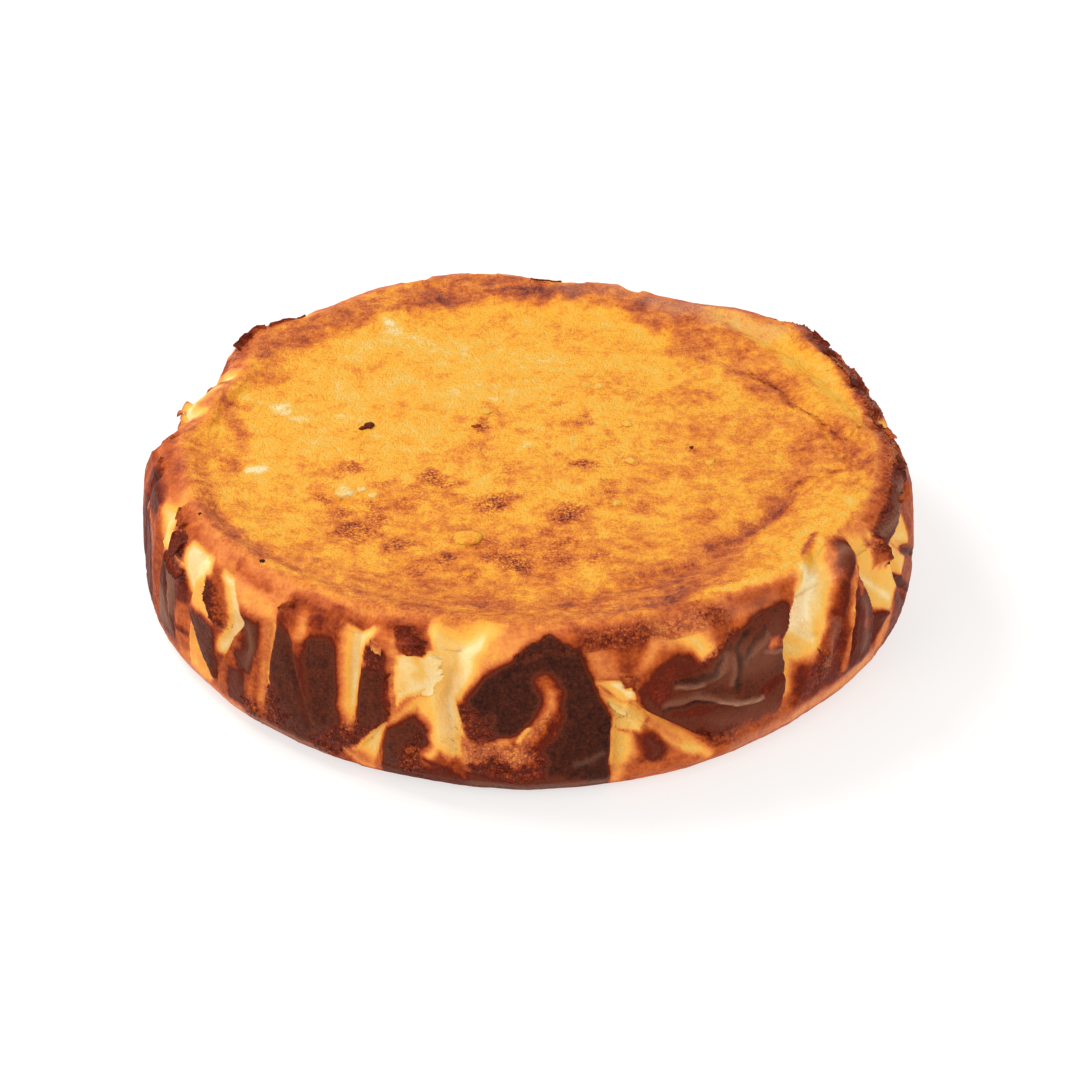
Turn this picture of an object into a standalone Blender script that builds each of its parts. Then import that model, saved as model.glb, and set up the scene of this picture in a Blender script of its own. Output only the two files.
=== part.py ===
"""A whole baked cheesecake with a burnt top, as it comes out of a paper-lined round tin.

The cake is one turned solid: a dished top inside a raised rim, a steep side and a flat base.
The crumpled paper lining left pleats in the side. Each pleat is a fold pressed into the crust,
and the crust between two folds is a flat that stood against the tin.

Lengths in the tables are millimetres and angles are degrees, counted anticlockwise from +X.
The front of the cake faces -Y, at 270 degrees. The mesh itself is in metres.
"""

import math
import random
from collections import namedtuple

import bmesh
import bpy
import numpy as np
from mathutils import Vector, noise

MM = 0.001

# Driving sizes
TIN_RADIUS = 120.0
RIM_HEIGHT = 51.5
RIM_RADIUS = 107.5
DISH_HEIGHT = 47.0
DISH_RADIUS = 84.0
BASE_RADIUS = 110.0
SHOULDER_HEIGHT = 46.0
SHOULDER_RADIUS = 116.8

# Where the pleats fade out over the rim, by the way up the crust, and how they calm at the foot
PLEATS_FADE_FROM = 52.0
PLEATS_FADE = 12.0
LIFT_FROM = 42.0
FOOT_BAND = 12.0
FOOT_CALM = 0.55

# Lumps of the crust, as (rise, size, seed)
SIDE_LUMPS = (0.5, 24.0, 3.0)
TOP_LUMPS = [(0.45, 30.0, 8.0), (0.2, 11.0, 5.0)]

# How the solid is meshed
TURN_STEPS = 720
WALL_SPACING = 1.1
DISH_SPACING = 4.0
TRIANGLE_BUDGET = 11200
FLAT_BASE_BAND = 0.35
SHARP_EDGE = 50

CRUST_COLOUR = (0.58, 0.25, 0.06, 1)
CRUST_ROUGHNESS = 0.5

DEGREE_ARC = math.pi * TIN_RADIUS / 180

Fold = namedtuple("Fold", "path depth west east")

# Pleats of the seen side, from left to right. A path is (angle, height) from the top down, depth
# is how far the fold goes in at its start, middle and end, and west and east are how far it takes
# to come out again on either side of the path.
FOLDS = [
    Fold([(200.6, 56), (202.4, 37), (201.2, 18), (198.5, 5)], (3.0, 2.3, 0.9), (6, 7, 5), (1.6, 1, 1)),
    Fold([(213.8, 55), (213.2, 40), (210.4, 4)], (3.7, 2.3, 1.1), (6, 6.5, 6), (4.5, 1.6, 1.2)),
    Fold([(212.4, 28), (215.0, 18), (218.8, 7)], (1.4, 1.8, 1.6), (3, 5.5, 6), (0.9, 0.9, 0.9)),
    Fold([(219.6, 54), (223.4, 42.5), (225.9, 36.8), (223.6, 28), (218.8, 9)],
         (2.5, 4.1, 1.1), (6, 10, 3), (1.2, 1.0, 1.4)),
    Fold([(230.2, 54), (232.1, 42), (231.0, 26), (228.6, 6)], (1.1, 1.8, 1.6), (12, 6, 4.5), (2.4, 0.9, 1.4)),
    Fold([(245.4, 57), (245.3, 40), (244.6, 15)], (3.4, 3.9, 1.1), (6, 4.6, 2.6), (4.5, 3.0, 2.2)),
    Fold([(250.6, 22.5), (247.6, 13), (243.0, 2)], (1.6, 2.8, 1.8), (1.0, 1.0, 1.2), (3, 4.6, 4.2)),
    Fold([(254.4, 45), (253.4, 35), (252.4, 25)], (2.6, 3.2, 2.2), (7.5, 7, 4), (6.5, 7, 4.5)),
    Fold([(261.0, 58), (259.2, 42), (258.5, 31), (260.4, 6)], (3.9, 5.8, 1.8), (9, 2.6, 3), (8, 5, 2.4)),
    Fold([(262.2, 20), (265.6, 13.5), (270.2, 18)], (1.6, 1.6, 1.6), (4, 5, 3.4), (4, 5, 3.4)),
    Fold([(271.6, 39), (274.0, 33), (273.4, 26), (268.0, 17)], (0.9, 1.4, 2.5), (3, 3, 2.2), (3, 3, 2.2)),
    Fold([(276.4, 50), (279.1, 36.5), (281.6, 24.5), (281.0, 3)],
         (1.6, 3.7, 3.2), (0.9, 0.9, 0.9), (14, 8.5, 7)),
    Fold([(283.0, 32), (285.8, 25.5), (297.0, 7)], (3.4, 3.9, 2.3), (5, 5, 4.6), (1.8, 1.8, 1.5)),
    Fold([(288.2, 56), (292.6, 44), (295.6, 37.5)], (1.8, 3.4, 2.5), (7, 3.6, 2.4), (8, 7, 4)),
    Fold([(322.4, 60), (317.3, 53.7), (312.7, 47.5), (310.2, 42.5), (308.1, 35), (309.2, 20), (308.2, 7)],
         (2.8, 6.4, 1.4), (1.6, 0.8, 1.6), (9, 15, 3)),
    Fold([(323.6, 37), (322.4, 28), (322.6, 14)], (1.6, 2.8, 1.8), (3, 2.8, 2.5), (3, 3, 2.5)),
    Fold([(328.0, 55), (325.6, 41.5), (328.6, 28), (329.6, 9)],
         (3.2, 4.4, 1.1), (1.6, 0.9, 1.0), (10, 13, 5)),
    Fold([(332.8, 41.2), (340, 43.2), (352, 46.4)], (4.4, 4.1, 3.0), (5, 14, 12), (0.8, 0.8, 0.8)),
    Fold([(335.2, 39), (338.8, 27), (346.5, 8)], (3.0, 2.5, 1.4), (5, 4, 3), (1.2, 1.2, 2)),
    Fold([(336.4, 43), (342.5, 33), (355, 14)], (2.9, 2.5, 1.6), (4, 3, 3), (2.5, 1.4, 1.5)),
    Fold([(189.5, 52), (191.0, 34), (188.4, 8)], (2.3, 2.1, 0.9), (5, 5, 4), (1.4, 1.0, 1.0)),
    Fold([(180.2, 57), (179.4, 38), (181.2, 6)], (4.6, 2.8, 1.1), (4, 3, 3), (2.0, 1.2, 1.2)),
]

# Crests that stand out of the flats: creases of the paper that stood towards the tin.
RIDGES = [
    Fold([(217.2, 43), (219.4, 36), (221.6, 29.4)], (2.2, 2.4, 1.4), (1.0, 1.0, 1.2), (3.0, 3.6, 3.0)),
    Fold([(226.2, 36.8), (222.8, 24), (219.6, 11)], (1.6, 1.9, 1.1), (1.0, 2.5, 2.5), (5, 4, 4)),
    Fold([(235.6, 46), (236.3, 36), (237.4, 26), (240, 12)], (0.7, 1.4, 0.8), (3, 2.4, 2.5), (3, 4, 4)),
    Fold([(251.4, 6), (251.8, 18), (254.6, 25.5), (257.2, 18)], (1.1, 1.9, 1.1), (4, 4, 2), (4, 3, 2)),
    Fold([(289.0, 26.2), (293.6, 27.2), (300, 20.6), (305.2, 19)],
         (0.8, 2.3, 1.1), (2.4, 2, 1.8), (2.4, 2.4, 2)),
    Fold([(290.6, 31.4), (294.8, 30.2), (298.6, 33), (300.8, 40)], (0.7, 1.2, 0.8), (2, 2, 2), (2, 2, 2)),
    Fold([(300.2, 44), (299.9, 34), (300.4, 25)], (0.5, 1.2, 0.5), (2, 1.6, 1.6), (2, 1.6, 1.6)),
    Fold([(308.0, 42), (303.4, 37.5), (301.6, 32)], (0.5, 1.2, 0.7), (2, 2, 2), (2, 2, 2)),
    Fold([(326.4, 52), (320.6, 43), (317.4, 31), (316.6, 14)], (2.4, 2.6, 1.1), (4, 3.6, 3), (4, 3, 4)),
    Fold([(325.6, 46), (321.9, 40.4), (320.6, 29), (321.6, 10)],
         (1.4, 3.2, 1.1), (3, 2.6, 2.2), (2, 2.0, 2.2)),
    Fold([(331.4, 49), (332.4, 41), (332.9, 36.4)], (1.9, 3.0, 1.4), (3.4, 3.8, 2.6), (3.0, 1.0, 0.8)),
    Fold([(329.6, 24.4), (332.2, 21.4), (334.9, 20)], (1.1, 1.9, 0.8), (1.6, 3, 2), (3, 2.4, 1.2)),
    Fold([(315.4, 49), (313.4, 40), (314.6, 30)], (0.5, 1.2, 0.6), (4, 4, 3), (1.6, 1.6, 1.6)),
]

# Flats of the crust against the tin, as (middle angle, half width in degrees).
FLATS = [(192, 7), (206, 5), (226.5, 4), (238, 6), (248, 3), (271, 9.5), (297, 11), (324, 4), (343, 7)]

# How far the cake stands in from the tin, as angle: (at the rim, at the foot).
STAND_IN = {0: (3, 1.5), 4: (5, 2.5), 10: (4.6, 3), 18: (4.2, 3), 26: (2, 3), 34: (0.6, 3),
            40: (-3, 3), 46: (2.4, 3.5), 52: (4.2, 4), 58: (8.4, 5), 66: (10.2, 5), 74: (6.8, 4),
            84: (8, 4), 90: (6.3, 3.5), 97: (1, 2.5), 106: (0, 2), 118: (1.6, 2.5),
            128: (4.4, 3.5), 134: (3.5, 4.5), 142: (0, 5), 148: (3, 6), 154: (8, 7), 162: (9, 7),
            168: (6.6, 6.5), 174: (7.6, 5.5), 178: (3.4, 2.5), 181: (0.8, 0.5), 188: (1.8, 0),
            200: (1, -0.4), 215: (0, 0.2), 225: (0, -0.4), 250: (0, -2.3), 270: (0, -4.2),
            290: (0, -2.3), 305: (0, 0), 315: (0, 1), 340: (0, 0.8), 356: (2, 0.5)}

# Inner edge of the rim: its mean radius, and how far and which way it sits off centre.
RIM_INNER = 94.5
RIM_SHIFT = 5.5
RIM_SHIFT_ANGLE = 218

# Creases of the top skin, as points (x, y) seen from above.
TOP_CREASES = [
    Fold([(60, 54), (78, 33), (89, 12), (95, -17)], (0.8, 1.6, 0.6), (1.2, 1.2, 1.2), (9, 9, 6)),
    Fold([(82, -22), (72, -43), (50, -71), (2, -98)], (0.8, 1.7, 0.5), (5, 5, 4), (5, 6, 5)),
    Fold([(-96, -31), (-87, -57), (-52, -87)], (0.5, 1.0, 0.4), (4, 4, 4), (4, 4, 4)),
    Fold([(58, 83), (86, 51), (101, 17), (106, 1)], (1.0, 2.4, 1.4), (4, 6, 5), (4, 6, 5)),
]

# The hidden back has pleats of the same kind, drawn from a seeded rule.
BACK_START = 2.0
BACK_END = 174.0
BACK_PITCH = 11.5
BACK_SEED = 41


def back_folds():
    """Pleats round the hidden side: each starts at the rim or partway down, and slants a little."""
    draw = random.Random(BACK_SEED)
    folds = []
    ridges = []
    angle = BACK_START + BACK_PITCH / 2
    while angle < BACK_END:
        top = draw.choice([57, 55, 47])
        foot = draw.uniform(4, 18)
        lean = draw.uniform(-5, 5)
        kink = draw.uniform(-1.5, 1.5)
        middle = 0.5 * (top + foot) + draw.uniform(-5, 5)
        depth = draw.uniform(2.2, 4.6)
        wide = draw.uniform(5, 11)
        narrow = draw.uniform(0.9, 3.5)
        west, east = draw.choice([(wide, narrow), (narrow, wide)])
        folds.append(Fold([(angle, top), (angle + lean / 2 + kink, middle), (angle + lean, foot)],
                          (0.8 * depth, depth, 0.4 * depth), (west, 0.8 * west, 0.5 * west),
                          (east, 0.8 * east, 0.5 * east)))
        crest = angle + draw.uniform(0.4, 0.6) * BACK_PITCH
        peak = (crest, draw.uniform(36, 46))
        end = (crest + draw.uniform(-3, 3), draw.uniform(10, 20))
        ridges.append(Fold([peak, end], (0.5, 1.2, 0.5), (2.5, 2.5, 2.5), (3, 3, 3)))
        angle += BACK_PITCH * draw.uniform(0.8, 1.25)
    return folds, ridges


def smooth(value):
    """Ease from 0 to 1 with level ends."""
    value = np.clip(value, 0, 1)
    return value * value * (3 - 2 * value)


def press(fold, across, up, power=1.25, fade=5.0):
    """How deep one fold is at each point (across, up), both in millimetres on the unrolled side.

    The path is a chain of straight stretches. A point takes the depth of the nearest stretch, less
    with its distance from the path, and the fold runs out softly at both of its ends.
    """
    points = np.array(fold.path, float)
    lengths = np.hypot(*np.diff(points, axis=0).T)
    total = lengths.sum()
    best = np.full(across.shape, 1e9)
    along = np.zeros(across.shape)
    side = np.ones(across.shape)
    gone = 0.0
    for start, end, length in zip(points[:-1], points[1:], lengths):
        step = (end - start) / length
        off_across = across - start[0]
        off_up = up - start[1]
        run = np.clip(off_across * step[0] + off_up * step[1], 0, length)
        gap_across = off_across - run * step[0]
        gap_up = off_up - run * step[1]
        gap = np.hypot(gap_across, gap_up)
        closer = gap < best
        best = np.where(closer, gap, best)
        along = np.where(closer, gone + run, along)
        side = np.where(closer, off_up * step[0] - off_across * step[1], side)
        gone += length
    share = along / total
    stops = (0, 0.5, 1)
    reach = np.where(side > 0, np.interp(share, stops, fold.east), np.interp(share, stops, fold.west))
    ends = smooth(np.minimum(along, total - along) / fade)
    return np.interp(share, stops, fold.depth) * ends * (1 - np.clip(best / reach, 0, 1) ** power)


def unroll(fold, about):
    """The fold with its angles turned into millimetres along the tin, near the angle about."""
    path = [(((angle - about + 180) % 360 - 180) * DEGREE_ARC, height) for angle, height in fold.path]
    return fold._replace(path=path)


def pleats(folds, angle, station):
    """The deepest of the folds at each point of the side, by angle and height up the crust."""
    deepest = np.zeros(angle.shape)
    for fold in folds:
        about = fold.path[0][0]
        across = ((angle - about + 180) % 360 - 180) * DEGREE_ARC
        deepest = np.maximum(deepest, press(unroll(fold, about), across, station))
    return deepest


def crust_profile():
    """Points (radius, height) of the turned crust, from the middle of the top down to the base."""
    corners = [
        (0, DISH_HEIGHT), (60, DISH_HEIGHT + 0.3), (DISH_RADIUS, DISH_HEIGHT + 1.2),
        (RIM_INNER - 2.5, DISH_HEIGHT + 2.2), (RIM_INNER + 3.5, RIM_HEIGHT - 1.2),
        (RIM_INNER + 8.5, RIM_HEIGHT - 0.4), (RIM_RADIUS, RIM_HEIGHT), (RIM_RADIUS + 5, RIM_HEIGHT - 1.7),
        (SHOULDER_RADIUS, SHOULDER_HEIGHT), (TIN_RADIUS - 0.8, 40), (TIN_RADIUS, 30), (TIN_RADIUS, 20),
        (TIN_RADIUS - 0.6, 12), (TIN_RADIUS - 1.8, 6), (TIN_RADIUS - 4.2, 2.5), (BASE_RADIUS, 0), (0, 0),
    ]
    points = [corners[0]]
    for start, end in zip(corners[:-1], corners[1:]):
        on_side = start[0] > DISH_RADIUS - 1 and end[0] > 0
        spacing = WALL_SPACING if on_side else DISH_SPACING
        count = max(1, round(math.dist(start, end) / spacing))
        for step in range(1, count + 1):
            share = step / count
            points.append((start[0] + (end[0] - start[0]) * share, start[1] + (end[1] - start[1]) * share))
    return points


def turned_crust():
    """The profile turned about the cake's axis into a closed mesh."""
    mesh = bpy.data.meshes.new("crust_profile")
    points = [(radius * MM, 0, height * MM) for radius, height in crust_profile()]
    mesh.from_pydata(points, [(index, index + 1) for index in range(len(points) - 1)], [])
    turned = bpy.data.objects.new("crust_profile", mesh)
    bpy.context.scene.collection.objects.link(turned)
    screw = turned.modifiers.new("turn", "SCREW")
    screw.steps = TURN_STEPS
    screw.render_steps = TURN_STEPS
    screw.use_merge_vertices = True
    screw.merge_threshold = 0.00001
    screw.use_smooth_shade = True
    graph = bpy.context.evaluated_depsgraph_get()
    crust = bpy.data.meshes.new_from_object(turned.evaluated_get(graph))
    bpy.data.objects.remove(turned)
    return crust


def station_of(radius, height):
    """How far up the crust a point is: its height on the wall, and on over the rim by arc length."""
    inwards = np.maximum(SHOULDER_RADIUS - radius, 0)
    rise = np.clip(height - SHOULDER_HEIGHT, 0, None)
    on_top = (height > DISH_HEIGHT - 1) & (radius < SHOULDER_RADIUS)
    return np.where(on_top, SHOULDER_HEIGHT + np.hypot(inwards, rise), height)


def outward(radius, height):
    """Radial and upward share of the crust's normal, from the wall round onto the top."""
    lift = smooth((height - LIFT_FROM) / (RIM_HEIGHT - LIFT_FROM)) * (radius > DISH_RADIUS)
    tilt = lift * math.pi / 2
    return np.cos(tilt), np.sin(tilt)


def stand_in(angle, height):
    """How far the cake has drawn in from the tin at each point of the side."""
    stops = sorted(STAND_IN)
    wrapped = [stop - 360 for stop in stops] + stops + [stop + 360 for stop in stops]
    rim = [STAND_IN[stop % 360][0] for stop in wrapped]
    foot = [STAND_IN[stop % 360][1] for stop in wrapped]
    share = smooth(height / SHOULDER_HEIGHT)
    return np.interp(angle, wrapped, rim) * share + np.interp(angle, wrapped, foot) * (1 - share)


def flatten(angle, radius):
    """Cut the round of the wall to a plane over each flat."""
    for middle, half in FLATS:
        turn = np.radians((angle - middle + 180) % 360 - 180)
        plane = TIN_RADIUS * math.cos(math.radians(half)) / np.cos(np.clip(turn, -0.5, 0.5))
        inside = np.abs(turn) < math.radians(half)
        radius = np.where(inside, np.minimum(radius, plane + 0.2), radius)
    return radius


def uneven(points, rise, size, seed):
    """Soft lumps of about the given size, between -rise and rise."""
    shift = Vector((seed, 2.7 * seed, -1.3 * seed))
    return rise * np.array([noise.noise(Vector(point) / size + shift) for point in points])


def shape_crust(crust):
    """Move the turned crust's points: draw in, flats, pleats, the rim's shift and the top's creases."""
    coordinates = np.empty(len(crust.vertices) * 3, np.float64)
    crust.vertices.foreach_get("co", coordinates)
    points = coordinates.reshape(-1, 3) / MM
    radius = np.hypot(points[:, 0], points[:, 1])
    height = points[:, 2].copy()
    angle = np.degrees(np.arctan2(points[:, 1], points[:, 0])) % 360
    station = station_of(radius, height)
    side = smooth((radius - DISH_RADIUS) / (RIM_RADIUS - DISH_RADIUS))
    under = (height < 0.01) & (radius < BASE_RADIUS - 0.5)

    more_folds, more_ridges = back_folds()
    reach = 1 - smooth((station - PLEATS_FADE_FROM) / PLEATS_FADE)
    relief = pleats(RIDGES + more_ridges, angle, station) - pleats(FOLDS + more_folds, angle, station)
    relief *= reach
    relief = np.where(under, 0, relief)
    out, lift = outward(radius, height)

    shift = RIM_SHIFT * np.cos(np.radians(angle - RIM_SHIFT_ANGLE))
    rim_move = shift * np.clip(radius / RIM_INNER, 0, 1)
    rim_move *= 1 - smooth((radius - RIM_INNER) / (RIM_RADIUS - RIM_INNER))
    top = height > DISH_HEIGHT - 1
    new_radius = np.where(top, radius + rim_move, radius)
    new_radius = np.where(radius > RIM_RADIUS, flatten(angle, new_radius), new_radius)
    new_radius -= stand_in(angle, height) * side * np.where(under, 0, 1)
    foot_share = np.clip(1 - height / FOOT_BAND, 0, 1) * (radius > BASE_RADIUS - 0.5)
    new_radius += relief * out * (1 - FOOT_CALM * foot_share)
    new_radius += uneven(points, *SIDE_LUMPS) * side * ~under
    new_height = height + relief * lift

    turn = np.radians(angle)
    flat_x = new_radius * np.cos(turn)
    flat_y = new_radius * np.sin(turn)
    for crease in TOP_CREASES:
        new_height -= np.where(top & (radius < SHOULDER_RADIUS - 2), press(crease, flat_x, flat_y), 0)
    new_height += np.where(top, sum(uneven(points, *lumps) for lumps in TOP_LUMPS), 0)
    new_height = np.where(under, 0, new_height)

    moved = np.column_stack([flat_x, flat_y, np.maximum(new_height, 0)]) * MM
    crust.vertices.foreach_set("co", moved.ravel())
    crust.update()


def thin_out(crust, name):
    """Collapse the dense mesh to the triangle budget, then set the base flat."""
    dense = bpy.data.objects.new(name, crust)
    bpy.context.scene.collection.objects.link(dense)
    triangles = sum(len(face.vertices) - 2 for face in crust.polygons)
    collapse = dense.modifiers.new("thin_out", "DECIMATE")
    collapse.ratio = TRIANGLE_BUDGET / triangles
    collapse.use_collapse_triangulate = True
    graph = bpy.context.evaluated_depsgraph_get()
    mesh = bpy.data.meshes.new_from_object(dense.evaluated_get(graph))
    bpy.data.objects.remove(dense)
    shape = bmesh.new()
    shape.from_mesh(mesh)
    for vertex in shape.verts:
        if vertex.co.z < FLAT_BASE_BAND * MM:
            vertex.co.z = 0
    bmesh.ops.recalc_face_normals(shape, faces=shape.faces)
    shape.to_mesh(mesh)
    shape.free()
    mesh.name = name
    return mesh


def crust_material():
    """Golden to dark baked crust, as one plain finish."""
    material = bpy.data.materials.new("baked_crust")
    material.use_nodes = True
    shader = material.node_tree.nodes["Principled BSDF"]
    shader.inputs["Base Color"].default_value = CRUST_COLOUR
    shader.inputs["Roughness"].default_value = CRUST_ROUGHNESS
    shader.inputs["Metallic"].default_value = 0
    material.diffuse_color = CRUST_COLOUR
    return material


def clear_scene():
    """Take every object out of the scene."""
    for thing in list(bpy.data.objects):
        bpy.data.objects.remove(thing)


def build():
    """Model the cake and put it in its own collection."""
    clear_scene()
    crust = turned_crust()
    shape_crust(crust)
    mesh = thin_out(crust, "cheesecake")
    mesh.materials.append(crust_material())
    mesh.shade_smooth()
    mesh.set_sharp_from_angle(angle=math.radians(SHARP_EDGE))
    cake = bpy.data.objects.new("cheesecake", mesh)
    collection = bpy.data.collections.new("baked_cheesecake")
    bpy.context.scene.collection.children.link(collection)
    collection.objects.link(cake)


build()
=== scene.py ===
# %% [markdown]
# # A burnt-top cheesecake
# This notebook dresses one baked cheesecake. The real cake is baked very hot in a round tin that
# is lined with crumpled paper. The top browns and sinks into a dish, and the paper's pleats stay
# in the side: what touched the hot tin is dark, and what hid in a pleat stays the colour of cream.
# The notebook makes the crust's form first, then paints how far each place has browned, and then
# gives the surface its finish. Lengths in the tables are millimetres, and angles are degrees
# counted anticlockwise from +X, so that the front of the cake is at 270.

# %% Load the frame
import math
import random
from collections import namedtuple
from functools import partial

import bmesh
import bpy
import numpy as np
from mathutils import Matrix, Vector, bvhtree, kdtree, noise


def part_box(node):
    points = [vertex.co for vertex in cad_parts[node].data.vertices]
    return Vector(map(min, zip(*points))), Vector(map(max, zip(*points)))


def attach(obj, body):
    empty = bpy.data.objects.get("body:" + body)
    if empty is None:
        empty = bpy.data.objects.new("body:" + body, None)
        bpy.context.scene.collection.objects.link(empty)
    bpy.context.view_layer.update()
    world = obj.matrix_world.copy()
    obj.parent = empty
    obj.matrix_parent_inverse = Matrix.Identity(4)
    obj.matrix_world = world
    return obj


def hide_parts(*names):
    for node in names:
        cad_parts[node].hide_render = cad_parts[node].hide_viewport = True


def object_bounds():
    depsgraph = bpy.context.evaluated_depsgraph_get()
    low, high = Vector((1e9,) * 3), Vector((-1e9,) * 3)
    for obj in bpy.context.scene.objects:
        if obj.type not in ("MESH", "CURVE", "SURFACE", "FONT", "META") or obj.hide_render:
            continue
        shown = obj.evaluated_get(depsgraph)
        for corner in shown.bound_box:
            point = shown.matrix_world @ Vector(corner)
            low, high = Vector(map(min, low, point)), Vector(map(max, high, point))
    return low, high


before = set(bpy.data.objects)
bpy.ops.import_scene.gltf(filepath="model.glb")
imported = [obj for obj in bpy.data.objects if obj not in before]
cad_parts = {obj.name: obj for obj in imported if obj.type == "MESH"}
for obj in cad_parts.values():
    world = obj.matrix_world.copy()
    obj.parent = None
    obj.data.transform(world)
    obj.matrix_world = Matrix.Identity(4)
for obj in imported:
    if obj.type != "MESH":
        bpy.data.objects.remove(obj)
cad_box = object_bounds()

MM = 0.001
low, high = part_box("cheesecake")
print("the solid cake spans", [round((b - a) / MM, 1) for a, b in zip(low, high)], "mm")

# %% [markdown]
# ## The camera
# The view looks down at the cake from in front, with a long lens that keeps the rim's ellipse
# calm. A long lens far away flattens a subject, as food photographers like for a whole cake. The
# place and the tilt are plain numbers, because they belong to the picture and not to the cake.

# %% Set the camera
LENS_HALF_ANGLE = 8.0
LOOK_DOWN = 31.2725
CAMERA_PLACE = (0.00328, -1.01938, 0.63215)


def add_object(name, data):
    """A new object in the scene that holds the data."""
    thing = bpy.data.objects.new(name, data)
    bpy.context.scene.collection.objects.link(thing)
    return thing


camera_data = bpy.data.cameras.new("view")
camera_data.sensor_width = 36.0
camera_data.lens = camera_data.sensor_width / 2 / math.tan(math.radians(LENS_HALF_ANGLE))
camera = add_object("view", camera_data)
camera.location = CAMERA_PLACE
camera.rotation_euler = (math.radians(90 - LOOK_DOWN), 0, 0)
bpy.context.scene.camera = camera
print("lens", round(camera_data.lens, 1), "mm")

# %% [markdown]
# ## The floor and the light
# A pale floor and a soft sky give the bright, almost shadowless look of a product photo. One large
# lamp behind and to the left rakes over the top, so that every wrinkle shows, and two in front
# light the side. The Standard view shows a colour as it was mixed, while Blender's usual view
# greys bright colours, and gold and cream are bright.

# %% Make the floor and the lamps
FLOOR_HALF = 3.0
LAMP_TARGET = (0, 0, 0.03)


def tidy_material(name):
    """A new node material, its node tree and its Principled shader."""
    material = bpy.data.materials.new(name)
    material.use_nodes = True
    return material, material.node_tree, material.node_tree.nodes["Principled BSDF"]


def give(made, inputs):
    """Fill a node's inputs, by name or place, with values or with other nodes' outputs."""
    for key, value in inputs.items():
        if isinstance(value, bpy.types.NodeSocket):
            made.id_data.links.new(value, made.inputs[key])
        else:
            made.inputs[key].default_value = value


def area_lamp(name, place, size, power, colour):
    """Add a square soft lamp at place that faces the cake."""
    data = bpy.data.lights.new(name, "AREA")
    data.shape = "SQUARE"
    data.size = size
    data.energy = power
    data.color = colour
    lamp = add_object(name, data)
    lamp.location = place
    aim = Vector(LAMP_TARGET) - Vector(place)
    lamp.rotation_euler = aim.to_track_quat("-Z", "Y").to_euler()


floor_mesh = bpy.data.meshes.new("floor")
corners = [(x * FLOOR_HALF, y * FLOOR_HALF, 0) for x, y in ((-1, -1), (1, -1), (1, 1), (-1, 1))]
floor_mesh.from_pydata(corners, [], [(0, 1, 2, 3)])
floor = add_object("floor", floor_mesh)
floor_material, _, floor_shader = tidy_material("pale_floor")
give(floor_shader, {"Base Color": (0.36, 0.357, 0.353, 1), "Roughness": 0.9,
                    "Emission Color": (1, 0.985, 0.97, 1), "Emission Strength": 0.66})
floor_mesh.materials.append(floor_material)

world = bpy.data.worlds.new("white_sky")
world.use_nodes = True
give(world.node_tree.nodes["Background"], {"Color": (1, 1, 1, 1), "Strength": 0.64})
bpy.context.scene.world = world
bpy.context.scene.view_settings.view_transform = "Standard"

area_lamp("key", (-0.8, 0.45, 1.1), 0.5, 13.5, (1, 0.985, 0.96))
area_lamp("front_fill", (-0.9, -1.1, 0.7), 0.8, 6, (1, 0.99, 0.975))
area_lamp("right_fill", (1.0, -0.9, 0.7), 0.8, 6, (1, 0.99, 0.975))
print("floor and lamps are set")

# %% [markdown]
# ## The tables of the crust's form
# Each pleat of the paper left a fold: a groove that is deepest along a bent path and comes out
# again to the west and to the east of it, often steeply on one side. A few numbers say that much.
# The tables could be replaced by sculpting, but then nobody could read what the form is.

# %% Write down the folds
TIN_RADIUS = 120.0
RIM_HEIGHT = 51.5
RIM_RADIUS = 107.5
DISH_HEIGHT = 47.0
DISH_RADIUS = 84.0
BASE_RADIUS = 110.0
SHOULDER_HEIGHT = 46.0
SHOULDER_RADIUS = 116.8
DEGREE_ARC = math.pi * TIN_RADIUS / 180

# each row of the tables is a fold: its path as (angle, height up the crust), then the depth and the
# reaches to the west and to the east, each given at the path's start, middle and end
Fold = namedtuple("Fold", "path depth west east")

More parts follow.
